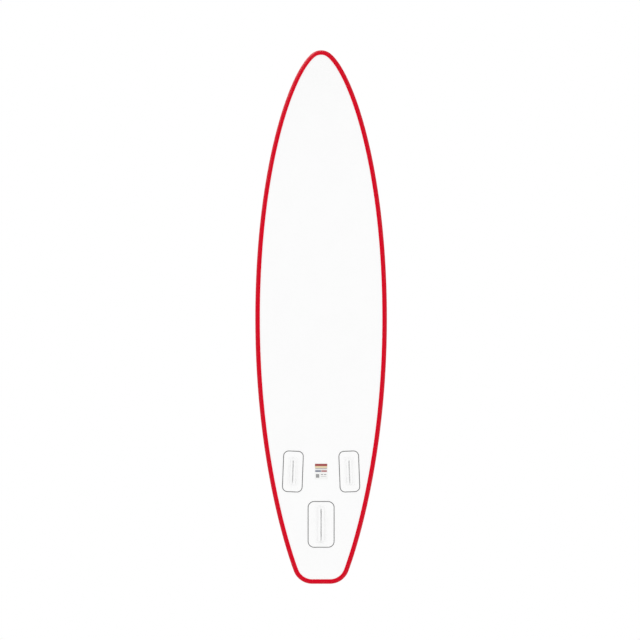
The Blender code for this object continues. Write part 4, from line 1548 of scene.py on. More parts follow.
@dataclass
class FinPlace(SubAssembly):
    """A fin patch with its bead, its box and the box's lock."""

    name: str
    x: float
    y: float
    toe: float
    patch: Triple
    box: Triple
    chamber: float
    slot: float
    lock_side: int
    bead_width: float = 5.0 * MM
    bead_high: float = 1.9 * MM
    sheet: float = 1.3 * MM
    flange: Pair = (13 * MM, 10 * MM)
    flange_edge: Pairs = ((0, 1.2), (0, 2.4), (0.2, 2.8), (0.8, 3))
    body_foot: Pairs = ((1.2, 3.1), (0.3, 3.5), (0, 4.2))
    body_edge: float = 1.2 * MM
    seat: float = 1.6 * MM
    corner: float = 5 * MM
    floor: float = 1.6 * MM
    lip: float = 2.0 * MM
    flare: float = 0.6 * MM
    front_wall: float = 9 * MM
    lock_back: float = 22 * MM
    lock_reach: float = 6 * MM
    play: float = 0.4 * MM
    pad: float = 6 * MM
    bolt_high: float = 2.4 * MM
    bolt_long: float = 10.2 * MM
    bolt_edge: float = 0.4 * MM
    window: Pair = (11.2 * MM, 3.2 * MM)
    pad_long: float = 16 * MM
    ridges: tuple[float, ...] = (1.2 * MM, 2.45 * MM, 3.7 * MM, 4.95 * MM)

    @property
    def place(self) -> Matrix:
        """The frame of the box: Z into the board, Y towards the tail."""
        return SHAPE.frame(Face.HULL, self.x, self.y, self.toe)

    @property
    def top(self) -> float:
        """How far the box stands out of the hull."""
        return self.seat + self.box[2]

    @property
    def lock(self) -> Pair:
        """The middle of the lock's bolt along the box, and its height half way up the channel."""
        return self.box[1] / 2 - self.lock_back, -(self.seat + self.floor + self.top - self.lip) / 2

    def build(self) -> None:
        """Builds the patch, the bead, the box and the lock."""
        side = self.name
        sheet = [(self.loop(-inset), h) for inset, h in eased_edge(SUNK, self.sheet, 0.3 * MM)]
        patch = plate(f"{side}_patch_sheet", Face.HULL, sheet)
        self.finish(patch, PALETTE.hull, "board", f"{side}_fin_patch")
        self.finish(self.bead(), PALETTE.bead, "board", f"{side}_patch_bead")
        self.finish(self.shell(), PALETTE.box, "board", f"{side}_fin_box")
        self.finish(self.bolt(), PALETTE.box, f"{side}_lock", f"{side}_fin_lock")

    def loop(self, grow: float) -> Loop:
        """The patch's outline, grown by this much all round.

        Args:
            grow: How far it is grown.

        Returns:
            The outline's points.
        """
        width, length, radius = self.patch
        flat = rounded(width + 2 * grow, length + 2 * grow, radius + grow)
        return placed(flat, self.x, self.y, self.toe)

    def bead(self) -> Piece:
        """The bead of weld along the sheet's edge, round on top; its dark grey finish is partly painted shade
        along the patch edge.

        Returns:
            The bead.
        """
        half = self.bead_width / 2
        section = [(half * math.cos(a), self.bead_high * math.sin(a) ** 0.6) for a in sweep(math.pi, 8)]
        section += [(-half, SUNK), (half, SUNK)]
        loops = [SHAPE.laid(Face.HULL, self.loop(grow), h) for grow, h in section]
        return lofted(f"{self.name}_patch_edge", loops, closed=True, sharp=60)

    def shell(self) -> Piece:
        """The box: a thin flange, a body with rounded edges, and the channel with its lips.

        Returns:
            The box.
        """
        width, length, _ = self.box
        side, end = self.flange
        steps = [(side - inset * MM, end - inset * MM, h * MM) for inset, h in self.flange_edge]
        steps += [(out * MM, out * MM, h * MM) for out, h in self.body_foot]
        steps += [(-inset, -inset, h) for inset, h in eased_edge(0.0, self.top, self.body_edge)[1:]]
        loops = []
        for wide, long, h in steps:
            corner = self.corner + min(wide, long) * 0.5
            flat = rounded(width + 2 * wide, length + 2 * long, corner, 6, 10)
            loops.append(moved(self.place, [Vector((p.x, p.y, -h)) for p in flat]))
        box = lofted(f"{self.name}_box_shell", loops)
        return combined(box, [self.channel_cut(), self.window_cut()], "DIFFERENCE")

    def channel_cut(self) -> Piece:
        """The space of the channel: wide inside, narrow between the lips, open at the rear.

        Returns:
            The space as a solid.
        """
        low, roof, top = self.seat + self.floor, self.top - self.lip, self.top
        wide = [(-self.chamber, -roof), (-self.chamber, -low), (self.chamber, -low), (self.chamber, -roof)]
        lips = [(self.slot, -roof), (self.slot, self.flare - top)]
        lips += [(self.slot + self.flare, -h) for h in (top, top + 2 * MM)]
        outline = wide + lips + flipped(lips)
        ends = self.front_wall - self.box[1] / 2, self.box[1] / 2 + 2 * self.flange[1]
        return bar("channel_cut", outline, ends, self.place)

    def window_cut(self) -> Piece:
        """The space through the wall that the bolt slides in.

        Returns:
            The space as a solid.
        """
        near, far = sorted((self.lock_side * (self.chamber - 2 * MM), self.lock_side * self.box[0]))
        y, z = self.lock
        long, high = (size / 2 for size in self.window)
        outline = [(near, z - high), (far, z - high), (far, z + high), (near, z + high)]
        return bar("window_cut", outline, (y - long, y + long), self.place)

    def bolt(self) -> Piece:
        """The bolt with its thumb pad, ridged for grip.

        Returns:
            The bolt.
        """
        y, middle = self.lock
        low, high, edge = middle - self.bolt_high / 2, self.bolt_high, self.bolt_edge
        tip, neck = self.chamber - self.lock_reach, self.box[0] / 2 + self.play
        back, half = neck + self.pad, self.pad_long / 2
        corners = [(tip, -self.bolt_long / 2), (neck, -self.bolt_long / 2), (neck, -half), (back, -half)]
        corners += [(x, -v) for x, v in reversed(corners)]
        centre = Vector(((tip + back) / 2, 0))
        arms = [Vector(p) - centre for p in softened(corners, 2 * edge)]
        loops = []
        for inset, z in ((edge, 0.0), (0.0, edge), (0.0, high - edge), (edge, high)):
            drawn = [centre + arm - arm.normalized() * inset for arm in arms]
            loops.append(moved(self.place, [Vector((self.lock_side * p.x, y + p.y, low + z)) for p in drawn]))
        bolt = lofted("bolt", loops)
        paths = []
        for run in self.ridges:
            x, z = self.lock_side * (neck + run), low + 0.1 * MM
            paths.append(moved(self.place, [Vector((x, y + way, z)) for way in (-0.13 * MM, 0.13 * MM)]))
        down = -self.place.col[2].xyz
        item = pellet(self.pad_long - 3 * MM, 0.7 * MM, 0.35 * MM)
        return merged(f"{self.name}_lock_bolt", [bolt, *repeated(PALETTE.box, item, paths, down)])


@dataclass
class HullDecal(SubAssembly):
    """The plain decal between the side patches."""

    size: Triple = (0.078, 0.096, 0.003)
    y: float = 0.925
    top: float = 0.6 * MM

    def build(self) -> None:
        """Builds the film with its softened edge."""
        width, length, radius = self.size
        levels = []
        for inset, h in eased_edge(0.02 * MM, self.top, 0.25 * MM):
            flat = rounded(width - 2 * inset, length - 2 * inset, radius - inset, 6)
            levels.append((placed(flat, 0, self.y), h))
        self.finish(plate("hull_decal", Face.HULL, levels), PALETTE.film, "board", "sticker")


@dataclass
class DeckPads(SubAssembly):
    """The grooved main pad, cut out round the handle, and the studded tail pad with its kick."""

    inset: float = 0.068
    main_y: Pair = (-0.62, 0.93)
    tail_y: Pair = (0.945, 1.255)
    front_corner: float = 0.13
    corner: float = 0.025
    thick: float = 6 * MM
    kick_high: float = 22 * MM
    kick_from: float = 1.12
    cutout: Triple = (0.130, 0.430, 0.064)
    edge: float = 1.2 * MM
    kick_edge: float = 2 * MM
    border: float = 0.030
    side_step: float = 0.02
    groove_pitch: float = 0.020
    groove_half: float = 1.6 * MM
    groove_drops: Pairs = ((0.0, 0.0), (0.5 * MM, 0.6 * MM), (0.8 * MM, 2.2 * MM))
    groove_step: float = 0.030
    groove_find: float = 2 * MM
    stud_border: float = 0.014
    stud_pitch: float = 0.013
    stud: Pairs = ((1.0, -0.4 * MM), (1.0, 0.2 * MM), (0.8, 1.3 * MM))

    def build(self) -> None:
        """Builds both pads."""
        self.finish(self.main_pad(), PALETTE.pad, "board", "main_deck_pad", fill=0.9)
        self.finish(self.kick_pad(), PALETTE.kick, "board", "tail_kick_pad", fill=0.9)

    def outline(self, ends: Pair, front: float, rear: float) -> Loop:
        """A pad's outline, which follows the board's side at a set distance.

        Args:
            ends: Where the pad starts and ends.
            front: Radius of its front corners.
            rear: Radius of its rear corners.

        Returns:
            The outline's points.
        """
        low, high = ends[0] + front, ends[1] - rear
        turns = sweep(math.pi / 2, 12)
        wide = SHAPE.half_width_at(low, self.inset)
        half = [Vector((0, ends[0]))]
        half += [Vector((wide - front * (1 - math.sin(a)), low - front * math.cos(a))) for a in turns]
        ys = [low + run for run in sweep(high - low, round((high - low) / self.side_step))[1:-1]]
        half += [Vector((SHAPE.half_width_at(y, self.inset), y)) for y in ys]
        half += arc(rear, turns, SHAPE.half_width_at(high, self.inset) - rear, high)
        return mirrored(half + [Vector((0, ends[1]))])

    def height(self, y: float) -> float:
        """Thickness of the pads: level, then rising to the kick."""
        share = max(0.0, y - self.kick_from) / (self.tail_y[1] - self.kick_from)
        return self.thick + (self.kick_high - self.thick) * math.sin(math.pi / 2 * min(1.0, share)) ** 2

    def stretches(self, x: float, field: Loop, keep_out: Loop) -> list[Pair]:
        """Where a lane along the board lies inside the grooved field and clear of the cut-out.

        Args:
            x: The lane's place across the board.
            field: The field's outline.
            keep_out: The outline that is kept clear.

        Returns:
            Start and end of each stretch.
        """
        steps = math.ceil((self.main_y[1] - self.main_y[0]) / self.groove_find)
        spots = [Vector((x, self.main_y[0] + self.groove_find * i)) for i in range(steps)]
        runs = []
        for clear, row in groupby(spots, lambda spot: holds(field, spot) and not holds(keep_out, spot)):
            row = list(row)
            if clear and len(row) * self.groove_find > 6 * self.groove_half:
                runs.append((row[0].y, row[-1].y + self.groove_find))
        return runs

    def groove(self, x: float, y0: float, y1: float, radius: float) -> Loop:
        """A slot along the board with round ends.

        Args:
            x: Its place across the board.
            y0: Where it starts.
            y1: Where it ends.
            radius: Half its width.

        Returns:
            The slot's outline.
        """
        first, last = y0 + radius, y1 - radius
        turns = sweep(math.pi / 2, 4)
        half = [Vector((radius * math.sin(a), first - radius * math.cos(a))) for a in turns]
        rows = max(1, round((last - first) / self.groove_step))
        half += [Vector((radius, first + run)) for run in sweep(last - first, rows)[1:-1]]
        return placed(mirrored(half + arc(radius, turns, 0, last)), x, 0)

    def main_pad(self) -> Piece:
        """The main pad: rounded edges, a plain border and grooves from end to end.

        Returns:
            The pad.
        """
        outline = self.outline(self.main_y, self.front_corner, self.corner)
        hole = rounded(*self.cutout, 16, 20)
        edge = eased_edge(SUNK, self.thick, self.edge)
        skin = Skin()
        sides = []
        for loop, way in ((outline, 1), (hole, -1)):
            sides.append(skin.wall([(offset(loop, way * inset), h) for inset, h in edge]))
        feet, tops = [side[0] for side in sides], [side[-1] for side in sides]
        field, keep_out = offset(outline, self.border), offset(hole, -self.border)
        lanes = int((SHAPE.half_width - self.inset) / self.groove_pitch)
        for lane in range(-lanes, lanes + 1):
            x = lane * self.groove_pitch
            for y0, y1 in self.stretches(x, field, keep_out):
                drops = [(self.groove(x, y0 + d, y1 - d, self.groove_half - d), self.thick - h)
                         for d, h in self.groove_drops]
                groove = skin.wall(drops)
                skin.fill(groove[-1][1], across=True, columns=1)
                tops.append(groove[0])
        skin.fill_between(tops)
        skin.fill_between(feet)
        return skin.object("main_pad", sharp=40)

    def raised(self, loop: Loop, drop: float = 0.0) -> Loop:
        """A loop in plan laid on the tail pad, or a drop below its top."""
        return [SHAPE.on(Face.DECK, p, self.height(p.y) + drop) for p in loop]

    def kick_pad(self) -> Piece:
        """The tail pad, rising to the kick, with studs over all but its border.

        Returns:
            The pad.
        """
        outline = self.outline(self.tail_y, self.corner, self.corner)
        loops = [SHAPE.laid(Face.DECK, outline, SUNK)]
        for inset, drop in eased_edge(0.0, 0.0, self.kick_edge)[1:]:
            loops.append(self.raised(offset(outline, inset), drop))
        pad = lofted("kick_base", loops, across=True, sharp=50)
        field = Skin()
        field.fill(field.ring(self.raised(offset(outline, self.stud_border))), across=True)
        guide = field.object("kick_field")
        for face in guide.data.polygons:
            face.flip()
        item = lofted("stud", [circle(0.36 * self.stud_pitch * share, z, 4) for share, z in self.stud])
        front, rear = self.tail_y
        values = {
            "Field": guide,
            "Item": item,
            "Width": 2 * SHAPE.half_width,
            "Length": rear - front,
            "Pitch": self.stud_pitch,
            "Centre": (0.0, (front + rear) / 2, 2 * SHAPE.thickness),
        }
        studs = grown("studs", PALETTE.kick, stud_nodes, values)
        discard(guide, item)
        return merged("kick_pad", [pad, studs])


@dataclass
class CarryHandle(SubAssembly):
    """The webbing strap in its padded sleeve, the two anchors and their patches."""

    axis: float = 13 * MM
    rise: float = 43 * MM
    end: float = 0.150
    mouth: float = 0.116
    crest: float = 0.020
    flat_from: float = 0.085
    grip_end: float = 0.072
    strap_round: Pair = (5.0 * MM, 5.0 * MM)
    strap_flat: Pair = (11.0 * MM, 2.4 * MM)
    grip: Pair = (14.4 * MM, 11.8 * MM)
    lining: Pair = (11.4 * MM, 2.9 * MM)
    rolled: Pair = (12.2 * MM, 6.0 * MM)
    drawn_in: Pair = (0.20, 0.020)
    hem: Pair = (1.5 * MM, 8 * MM)
    hem_high: float = 0.05
    crease: float = 0.011
    crease_deep: float = 0.018
    crease_from: Pair = (0.03, 0.02)
    seam_in: float = 9.5 * MM
    anchor_y: float = 0.145
    base: Triple = (0.056, 0.066, 0.014)
    patch: Triple = (0.096, 0.104, 0.030)
    sheet: float = 1.3 * MM
    hump: float = 9.6 * MM
    foot: Pairs = ((12.0, 3.0), (11.1, 4.8), (9.9, 8.0))
    bore: float = 5.7 * MM
    sides: int = 32
    rows: tuple[int, int] = (80, 72)

    def build(self) -> None:
        """Builds the handle from its strap out to the patches."""
        self.finish(self.strap(), PALETTE.webbing, "handle", "handle_strap")
        self.finish(self.sleeve(), PALETTE.grip, "handle", "handle_grip", fill=0.8)
        self.finish(self.seam(), PALETTE.thread, "handle")
        for name, side in (("front", -1), ("rear", 1)):
            self.finish(self.anchor(name, side), PALETTE.grey, "board", f"handle_anchor_{name}")
            loop = placed(rounded(*self.patch), 0, side * self.anchor_y)
            levels = [(offset(loop, inset), h) for inset, h in eased_edge(SUNK, self.sheet, 0.6 * MM)]
            sheet = plate(f"anchor_patch_{name}", Face.DECK, levels)
            self.finish(sheet, PALETTE.hull, "board", f"handle_patch_{name}")

    def height(self, y: float) -> float:
        """Height of the strap's middle above its tilt axis."""
        return self.rise * smooth((self.mouth - abs(y)) / (self.mouth - self.crest))

    def section(self, y: float, size: Sequence[float], square: float = 1.0) -> Loop:
        """A rounded section across the strap, square to its path.

        Args:
            y: Place along the strap.
            size: Half-width and half-height.
            square: 1 for an ellipse, less for fuller corners.

        Returns:
            The section's points.
        """
        slope = (self.height(y + MM) - self.height(y - MM)) / (2 * MM)
        up = Vector((0, -slope, 1)).normalized()
        middle = SHAPE.frame(Face.DECK, 0, 0) @ Vector((0, y, self.axis + self.height(y)))
        points = []
        for spot in circle(1.0, 0, self.sides):
            x, z = (math.copysign(abs(part) ** square, part) * reach for part, reach in zip(spot, size))
            points.append(middle + Vector((x, 0, 0)) + up * z)
        return points

    def strap(self) -> Piece:
        """The strap: round where it enters the anchors, flat webbing in between.

        Returns:
            The strap.
        """
        loops = []
        for i in range(self.rows[0] + 1):
            y = self.end * (2 * i / self.rows[0] - 1)
            share = smooth((self.mouth - abs(y)) / (self.mouth - self.flat_from))
            size = [r + (f - r) * share for r, f in zip(self.strap_round, self.strap_flat)]
            loops.append(self.section(y, size, 1 - 0.55 * share))
        return lofted("handle_webbing", loops, sharp=60)

    def sleeve(self) -> Piece:
        """The padded sleeve, full in the middle, drawn in at its bound ends and creased where it bends.

        Returns:
            The sleeve.
        """
        loops = [self.section(-self.grip_end, self.rolled)]
        for i in range(self.rows[1] + 1):
            y = self.grip_end * (2 * i / self.rows[1] - 1)
            rest = self.grip_end - abs(y)
            drawn, over = self.drawn_in
            full = 1 - drawn + drawn * smooth(rest / over)
            hem = self.hem_high if self.hem[0] < rest < self.hem[1] else 0.0
            start, over = self.crease_from
            crease = self.crease_deep * math.sin(abs(y) * math.tau / self.crease)
            crease *= smooth((abs(y) - start) / over)
            grow = full + hem - abs(crease) * smooth((rest - self.hem[1]) / (6 * MM))
            loops.append(self.section(y, [half * grow for half in self.grip]))
        loops.append(self.section(self.grip_end, self.rolled))
        inside = sweep(2 * (self.grip_end - MM), self.rows[1] // 2)
        loops += [self.section(self.grip_end - MM - run, self.lining, 0.5) for run in inside]
        return lofted("handle_sleeve", loops, closed=True, sharp=60)

    def seam(self) -> Piece:
        """Two rows of stitches, one round each bound end of the sleeve.

        Returns:
            The stitches.
        """
        made = []
        for side in (-1, 1):
            row = self.section(side * (self.grip_end - self.seam_in), [half * 0.99 for half in self.grip])
            centre = sum(row, Vector()) / len(row)
            for a, b in zip(row[::2], row[1::2]):
                item = pellet((b - a).length * 1.1, 0.8 * MM, 0.5 * MM)
                out = ((a + b) / 2 - centre).normalized()
                made += repeated(PALETTE.thread, item, [[a, b]], out)
        return merged("sleeve_stitches", made)

    def anchor(self, name: str, side: int) -> Piece:
        """A moulded anchor: rounded base, arched hump and the bore that the strap turns in.

        Args:
            name: Which anchor it is.
            side: The way along the board that it lies, -1 or 1.

        Returns:
            The anchor.
        """
        place = SHAPE.frame(Face.DECK, 0, side * self.anchor_y) @ spun(math.pi * (side < 0))
        loop = rounded(*self.base, 8, 8)
        loops = [moved(place, [p.to_3d() + Vector((0, 0, h)) for p in offset(loop, inset)])
                 for inset, h in eased_edge(1.2 * MM, 4.4 * MM, 1.8 * MM, 5)]
        anchor = lofted(f"anchor_{name}", loops)
        foot = [(x * MM, z * MM) for x, z in self.foot]
        outline = foot + arc(self.hump, sweep(math.pi, 24), 0, self.axis) + flipped(foot)
        mouth = self.mouth - self.anchor_y + 5 * MM
        combined(anchor, [bar("hump", outline, (mouth, 20 * MM), place, edge=1.5 * MM)], "UNION")
        lead = [(self.bore + 1.2 * MM, mouth - MM), (self.bore + MM, mouth + 0.2 * MM)]
        lead += [(self.bore, mouth + 1.6 * MM), (self.bore, self.end - self.anchor_y + MM)]
        loops = [moved(place, [Vector((p.x, y, self.axis + p.y)) for p in circle(radius, 0, 40)])
                 for radius, y in lead]
        return combined(anchor, [lofted("bore", loops)], "DIFFERENCE")


@dataclass
class DeckRing(SubAssembly):
    """A D-ring with the webbing loop that holds it, the loop's stitches and the patch."""

    name: str
    x: float
    y: float
    way: int
    half: float = 19 * MM
    leg: float = 7 * MM
    corner: float = 3 * MM
    wire: float = 2.5 * MM
    lift: float = 0.9 * MM
    sheet: float = 1.3 * MM
    patch: Triple = (0.086, 0.086, 0.034)
    loop_width: float = 25 * MM
    loop_thick: float = 1.5 * MM
    loop_tail: float = 16 * MM

    @property
    def top(self) -> Matrix:
        """The frame on top of the patch, Y the way that the bow points."""
        place = SHAPE.frame(Face.DECK, self.x, self.y) @ spun(math.pi * (self.way < 0))
        return place @ Matrix.Translation((0, 0, self.sheet))

    @property
    def axis(self) -> float:
        """Height of the ring's bar above the patch."""
        return self.lift + self.wire

    def build(self) -> None:
        """Builds the ring, the loop, its stitches and the patch."""
        self.finish(self.ring(), PALETTE.steel, f"{self.name}_body", self.name)
        self.finish(self.strap(), PALETTE.webbing, "board", f"{self.name}_loop")
        self.finish(self.stitches(), PALETTE.thread, "board")
        loop = placed(rounded(*self.patch), self.x, self.y)
        levels = [(offset(loop, inset), h) for inset, h in eased_edge(SUNK, self.sheet, 0.6 * MM)]
        sheet = plate(f"{self.name}_sheet", Face.DECK, levels, settled=True)
        self.finish(sheet, PALETTE.hull, "board", f"{self.name}_patch")

    def ring(self) -> Piece:
        """The bent wire, its bar on X through the axis and its bow towards Y.

        Returns:
            The ring.
        """
        bend = Vector((self.half - self.corner, self.corner))
        turns = sweep(math.pi / 2, 6)
        right = [bend + self.corner * Vector((math.sin(a), -math.cos(a))) for a in turns]
        path = right + arc(self.half, sweep(math.pi, 32), 0, self.leg)
        path += flipped(right)
        path += [Vector((self.half * share, 0)) for share in (-0.5, -0.25, 0.0, 0.25, 0.5)]
        place = self.top @ Matrix.Translation((0, 0, self.axis))
        loops = [moved(place, ring_section(p, out, self.wire, 20)) for p, out in zip(path, normals(path))]
        return lofted(f"{self.name}_wire", loops, closed=True, sharp=60)

    def strap(self) -> Piece:
        """The webbing loop over the bar, with its woven edges slightly rounded.

        Returns:
            The loop.
        """
        inner = self.wire + 0.4 * MM
        outer = inner + self.loop_thick
        flat = self.loop_thick + 0.2 * MM
        tail, low = self.loop_tail, -0.1 * MM
        over, under = (arc(radius, sweep(math.pi, 20), 0, self.axis) for radius in (outer, inner))
        fall = [(tail, low), (tail, flat - 0.3 * MM), (tail - 0.3 * MM, flat), (outer + 2.2 * MM, flat)]
        fall += [(outer + 0.7 * MM, flat + 0.4 * MM), (outer + 0.15 * MM, flat + 1.3 * MM)]
        line = [*fall, *over, *flipped(fall), (-inner, low), *reversed(under), (inner, low)]
        half, edge = self.loop_width / 2, 0.4 * MM
        loops = [moved(self.top, [Vector((x, *p)) for p in line])
                 for x in (-half, edge - half, 0.0, half - edge, half)]
        return lofted(f"{self.name}_webbing", loops, sharp=50)

    def stitches(self) -> Piece:
        """A boxed cross of stitches on each tail of the loop.

        Returns:
            The stitches.
        """
        up = self.top.col[2].xyz
        z = self.loop_thick + 0.15 * MM
        near, far = self.wire + 4.6 * MM, self.loop_tail - 1.8 * MM
        half = self.loop_width / 2 - 2.2 * MM
        box = [(-half, near), (half, near), (half, far), (-half, far), (-half, near), (half, far)]
        cross = [(-half, far), (half, near)]
        paths = [moved(self.top, [Vector((x, side * y, z)) for x, y in run])
                 for side in (-1, 1) for run in (box, cross)]
        item = pellet(2.0 * MM, 0.7 * MM, 0.35 * MM)
        return merged(f"{self.name}_stitches", repeated(PALETTE.thread, item, paths, up, 2.7 * MM))


@dataclass
class Valve(SubAssembly):
    """The inflation valve, with its profiles as (radius, height) and its sections in millimetres."""

    y: float = 1.345
    hinge: Pair = (38.0, 5.0)
    vent: Pair = (4.6, 12.0)
    vents: int = 4
    flange_ribs: int = 36
    cap_ribs: int = 60
    spring_z: Pair = (-21.6 * MM, -4.1 * MM)
    spring_wire: float = 0.7 * MM
    spring_radius: float = 8 * MM
    spring_turns: int = 6
    spring_steps: int = 18
    travel: float = 8 * MM
    housing_line: Pairs = (
        (3.4, -25), (3.4, -22), (19, -22), (19, 11), (24, 11), (24, 4.5), (31, 4.5), (31, 3), (29.5, 3),
        (29.5, 1.8), (21.7, 1.8), (21.7, -28), (14.5, -28), (14.5, -26.8), (19, -26.8), (19, -25),
    )
    button_line: Pairs = (
        (6, -34), (6, -31.6), (3, -31.6), (3, -1), (8.6, -1), (9, -0.6), (9, 3.0), (8.7, 3.6), (8.1, 3.9),
        (7.0, 3.8), (2.0, 3.5),
    )
    cap_line: Pairs = (
        (3, 14.3), (21.5, 14.3), (22.6, 14.6), (23.2, 15), (28.3, 15), (29.2, 14.7), (29.5, 14.1),
        (29.5, 10.3), (29.2, 9.9), (27.8, 9.7), (27.5, 9.4), (27.5, 7.1), (27.8, 6.8), (29.2, 6.6),
        (29.5, 6.3), (29.5, 5.5), (29.2, 5.2), (25.1, 5.2), (24.8, 5.5), (24.8, 12.9), (3, 12.9),
    )
    button_rib: Pairs = ((-1.5, 3.2), (1.5, 3.2), (1.5, 5.4), (-1.5, 5.4))
    cap_grip: Pairs = ((-3.5, 13.6), (3.5, 13.6), (2.9, 18.5), (-2.9, 18.5))
    cap_loop: Pairs = ((28.0, 7.1), (31.0, 7.1), (31.0, 9.4), (28.0, 9.4))
    tether_line: Pairs = ((29.5, 7.4), (31.5, 7.4), (38, 4.2), (38.6, 5.8), (31.5, 9.1), (29.5, 9.1))
    collar_line: Pairs = ((29.9, 0.2), (33.6, 0.2), (33.6, 2.6), (29.9, 2.6))
    ear: Pairs = ((32, 0.2), (41, 0.2), (41, 4.2), (35.4, 4.2), (34.4, 2.5), (32, 2.5))

    @property
    def place(self) -> Matrix:
        """The valve's frame: Z out of the deck along its axis."""
        return SHAPE.frame(Face.DECK, 0, self.y)

    def build(self) -> None:
        """Builds what shows of the valve, and dresses what lies inside it."""
        self.finish(self.housing(), PALETTE.valve, "board", "valve_body")
        self.finish(self.button(), PALETTE.button, "valve_button", "valve_stem")
        self.finish(self.cap(), PALETTE.valve, "cap", "valve_cap")
        self.finish(self.tether(), PALETTE.rubber, "tether", "cap_tether")
        self.finish(self.collar(), PALETTE.rubber, "board", "tether_collar")
        self.dress(PALETTE.valve, "valve_nut", "spring_cup")
        self.dress(PALETTE.rubber, "valve_gasket", "seal_disc", "cap_seal")
        coil = self.finish(self.coil(), PALETTE.steel, "board", "valve_spring")
        foot, head = (self.place @ Vector((0, 0, z)) for z in self.spring_z)
        tuple(foot)
        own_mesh(coil)

    def ribs(self, item: Piece, radius: float, z: float, count: int) -> list[Piece]:
        """An item repeated round the valve's axis.

        Args:
            item: The item.
            radius: How far from the axis it stands.
            z: Its height.
            count: How many there are.

        Returns:
            The ribs.
        """
        up = self.place.col[2].xyz
        path = moved(self.place, circle(radius, z, 180))
        spacing = math.tau * radius * math.cos(math.pi / 180) / count
        return repeated(PALETTE.valve, item, [path], up, spacing, closed=True)

    def across(self, name: str, line: Pairs, half: float, edge: float = 0.0, turn: float = 0.0) -> Piece:
        """A bar from its section in millimetres, half as long each way, turned about the valve's axis."""
        outline = [(x * MM, z * MM) for x, z in line]
        return bar(name, outline, (-half * MM, half * MM), self.place @ spun(turn), edge * MM)

    def pin(self, name: str, radius: float, half: float) -> Piece:
        """A round bar on the tether's hinge."""
        return self.across(name, arc(radius, sweep(math.tau, 24)[:-1], *self.hinge), half)

    def housing(self) -> Piece:
        """Flange, mouth and barrel, with the vented web that guides the stem.

        Returns:
            The housing.
        """
        body = turned("housing", softened(self.housing_line, 0.7), self.place)
        radius, out = self.vent
        cuts = []
        for i in range(self.vents):
            angle = math.tau * (i + 0.5) / self.vents
            at = Matrix.Translation((out * MM * math.cos(angle), out * MM * math.sin(angle), 0))
            line = [(radius, -26), (radius, -21)]
            cuts.append(turned("vent", line, self.place @ at, 24, closed=False))
        combined(body, cuts, "DIFFERENCE")
        ribs = self.ribs(pellet(1.1 * MM, 4.2 * MM, 0.4 * MM), 27.6 * MM, 4.4 * MM, self.flange_ribs)
        return merged("valve_housing", [body, *ribs])

    def coil(self) -> Piece:
        """The return spring, one unbroken coil.

        Returns:
            The coil.
        """
        low, high = self.spring_z[0] + self.spring_wire, self.spring_z[1] - self.spring_wire
        steps = self.spring_turns * self.spring_steps
        loops = []
        for i, rise in enumerate(sweep(high - low, steps)):
            angle = math.tau * i / self.spring_steps
            out = Vector((math.cos(angle), math.sin(angle), 0))
            middle = out * self.spring_radius + Vector((0, 0, low + rise))
            loops.append(moved(self.place, ring_section(middle, out, self.spring_wire, 10)))
        return lofted("return_spring", loops, sharp=60)

    def button(self) -> Piece:
        """The button on its stem, with the rib that shows which way it is turned.

        Returns:
            The button.
        """
        button = turned("push_button", self.button_line, self.place, 64, closed=False)
        rib = self.across("rib", softened(self.button_rib, 0.6), 7, 0.6, math.pi / 2)
        return combined(button, [rib], "UNION")

    def cap(self) -> Piece:
        """The cap: dished top with a grip bar, ribbed skirt and the waist that the tether lies in.

        Returns:
            The cap.
        """
        cap = turned("cap", self.cap_line, self.place, 120, closed=False)
        grip = self.across("grip", softened(self.cap_grip, 1.2, 4), 19, 1.6, math.pi / 2)
        combined(cap, [grip], "UNION")
        item = pellet(3.6 * MM, 1.3 * MM, 0.45 * MM)
        item.data.transform(spun(math.pi / 2, "Y") @ spun(math.pi / 2, "X"))
        ribs = self.ribs(item, 29.4 * MM, 12.1 * MM, self.cap_ribs)
        return merged("screw_cap", [cap, *ribs])

    def tether(self) -> Piece:
        """The loop in the cap's waist, with its strap and the barrel at the collar.

        Returns:
            The tether.
        """
        loop = turned("cap_loop", softened(self.cap_loop, 0.8), self.place)
        strap = self.across("strap", softened(self.tether_line, 0.5), 4, 0.4)
        return combined(loop, [strap, self.pin("barrel", 1.6, 5)], "UNION")

    def collar(self) -> Piece:
        """The collar round the valve's flange, with the cradle that the tether hinges in.

        Returns:
            The collar.
        """
        ring = turned("collar_band", softened(self.collar_line, 0.7), self.place)
        combined(ring, [self.across("ear", softened(self.ear, 0.8), 7, 0.8)], "UNION")
        return combined(ring, [self.pin("groove", 2.1, 6)], "DIFFERENCE")


# Studio


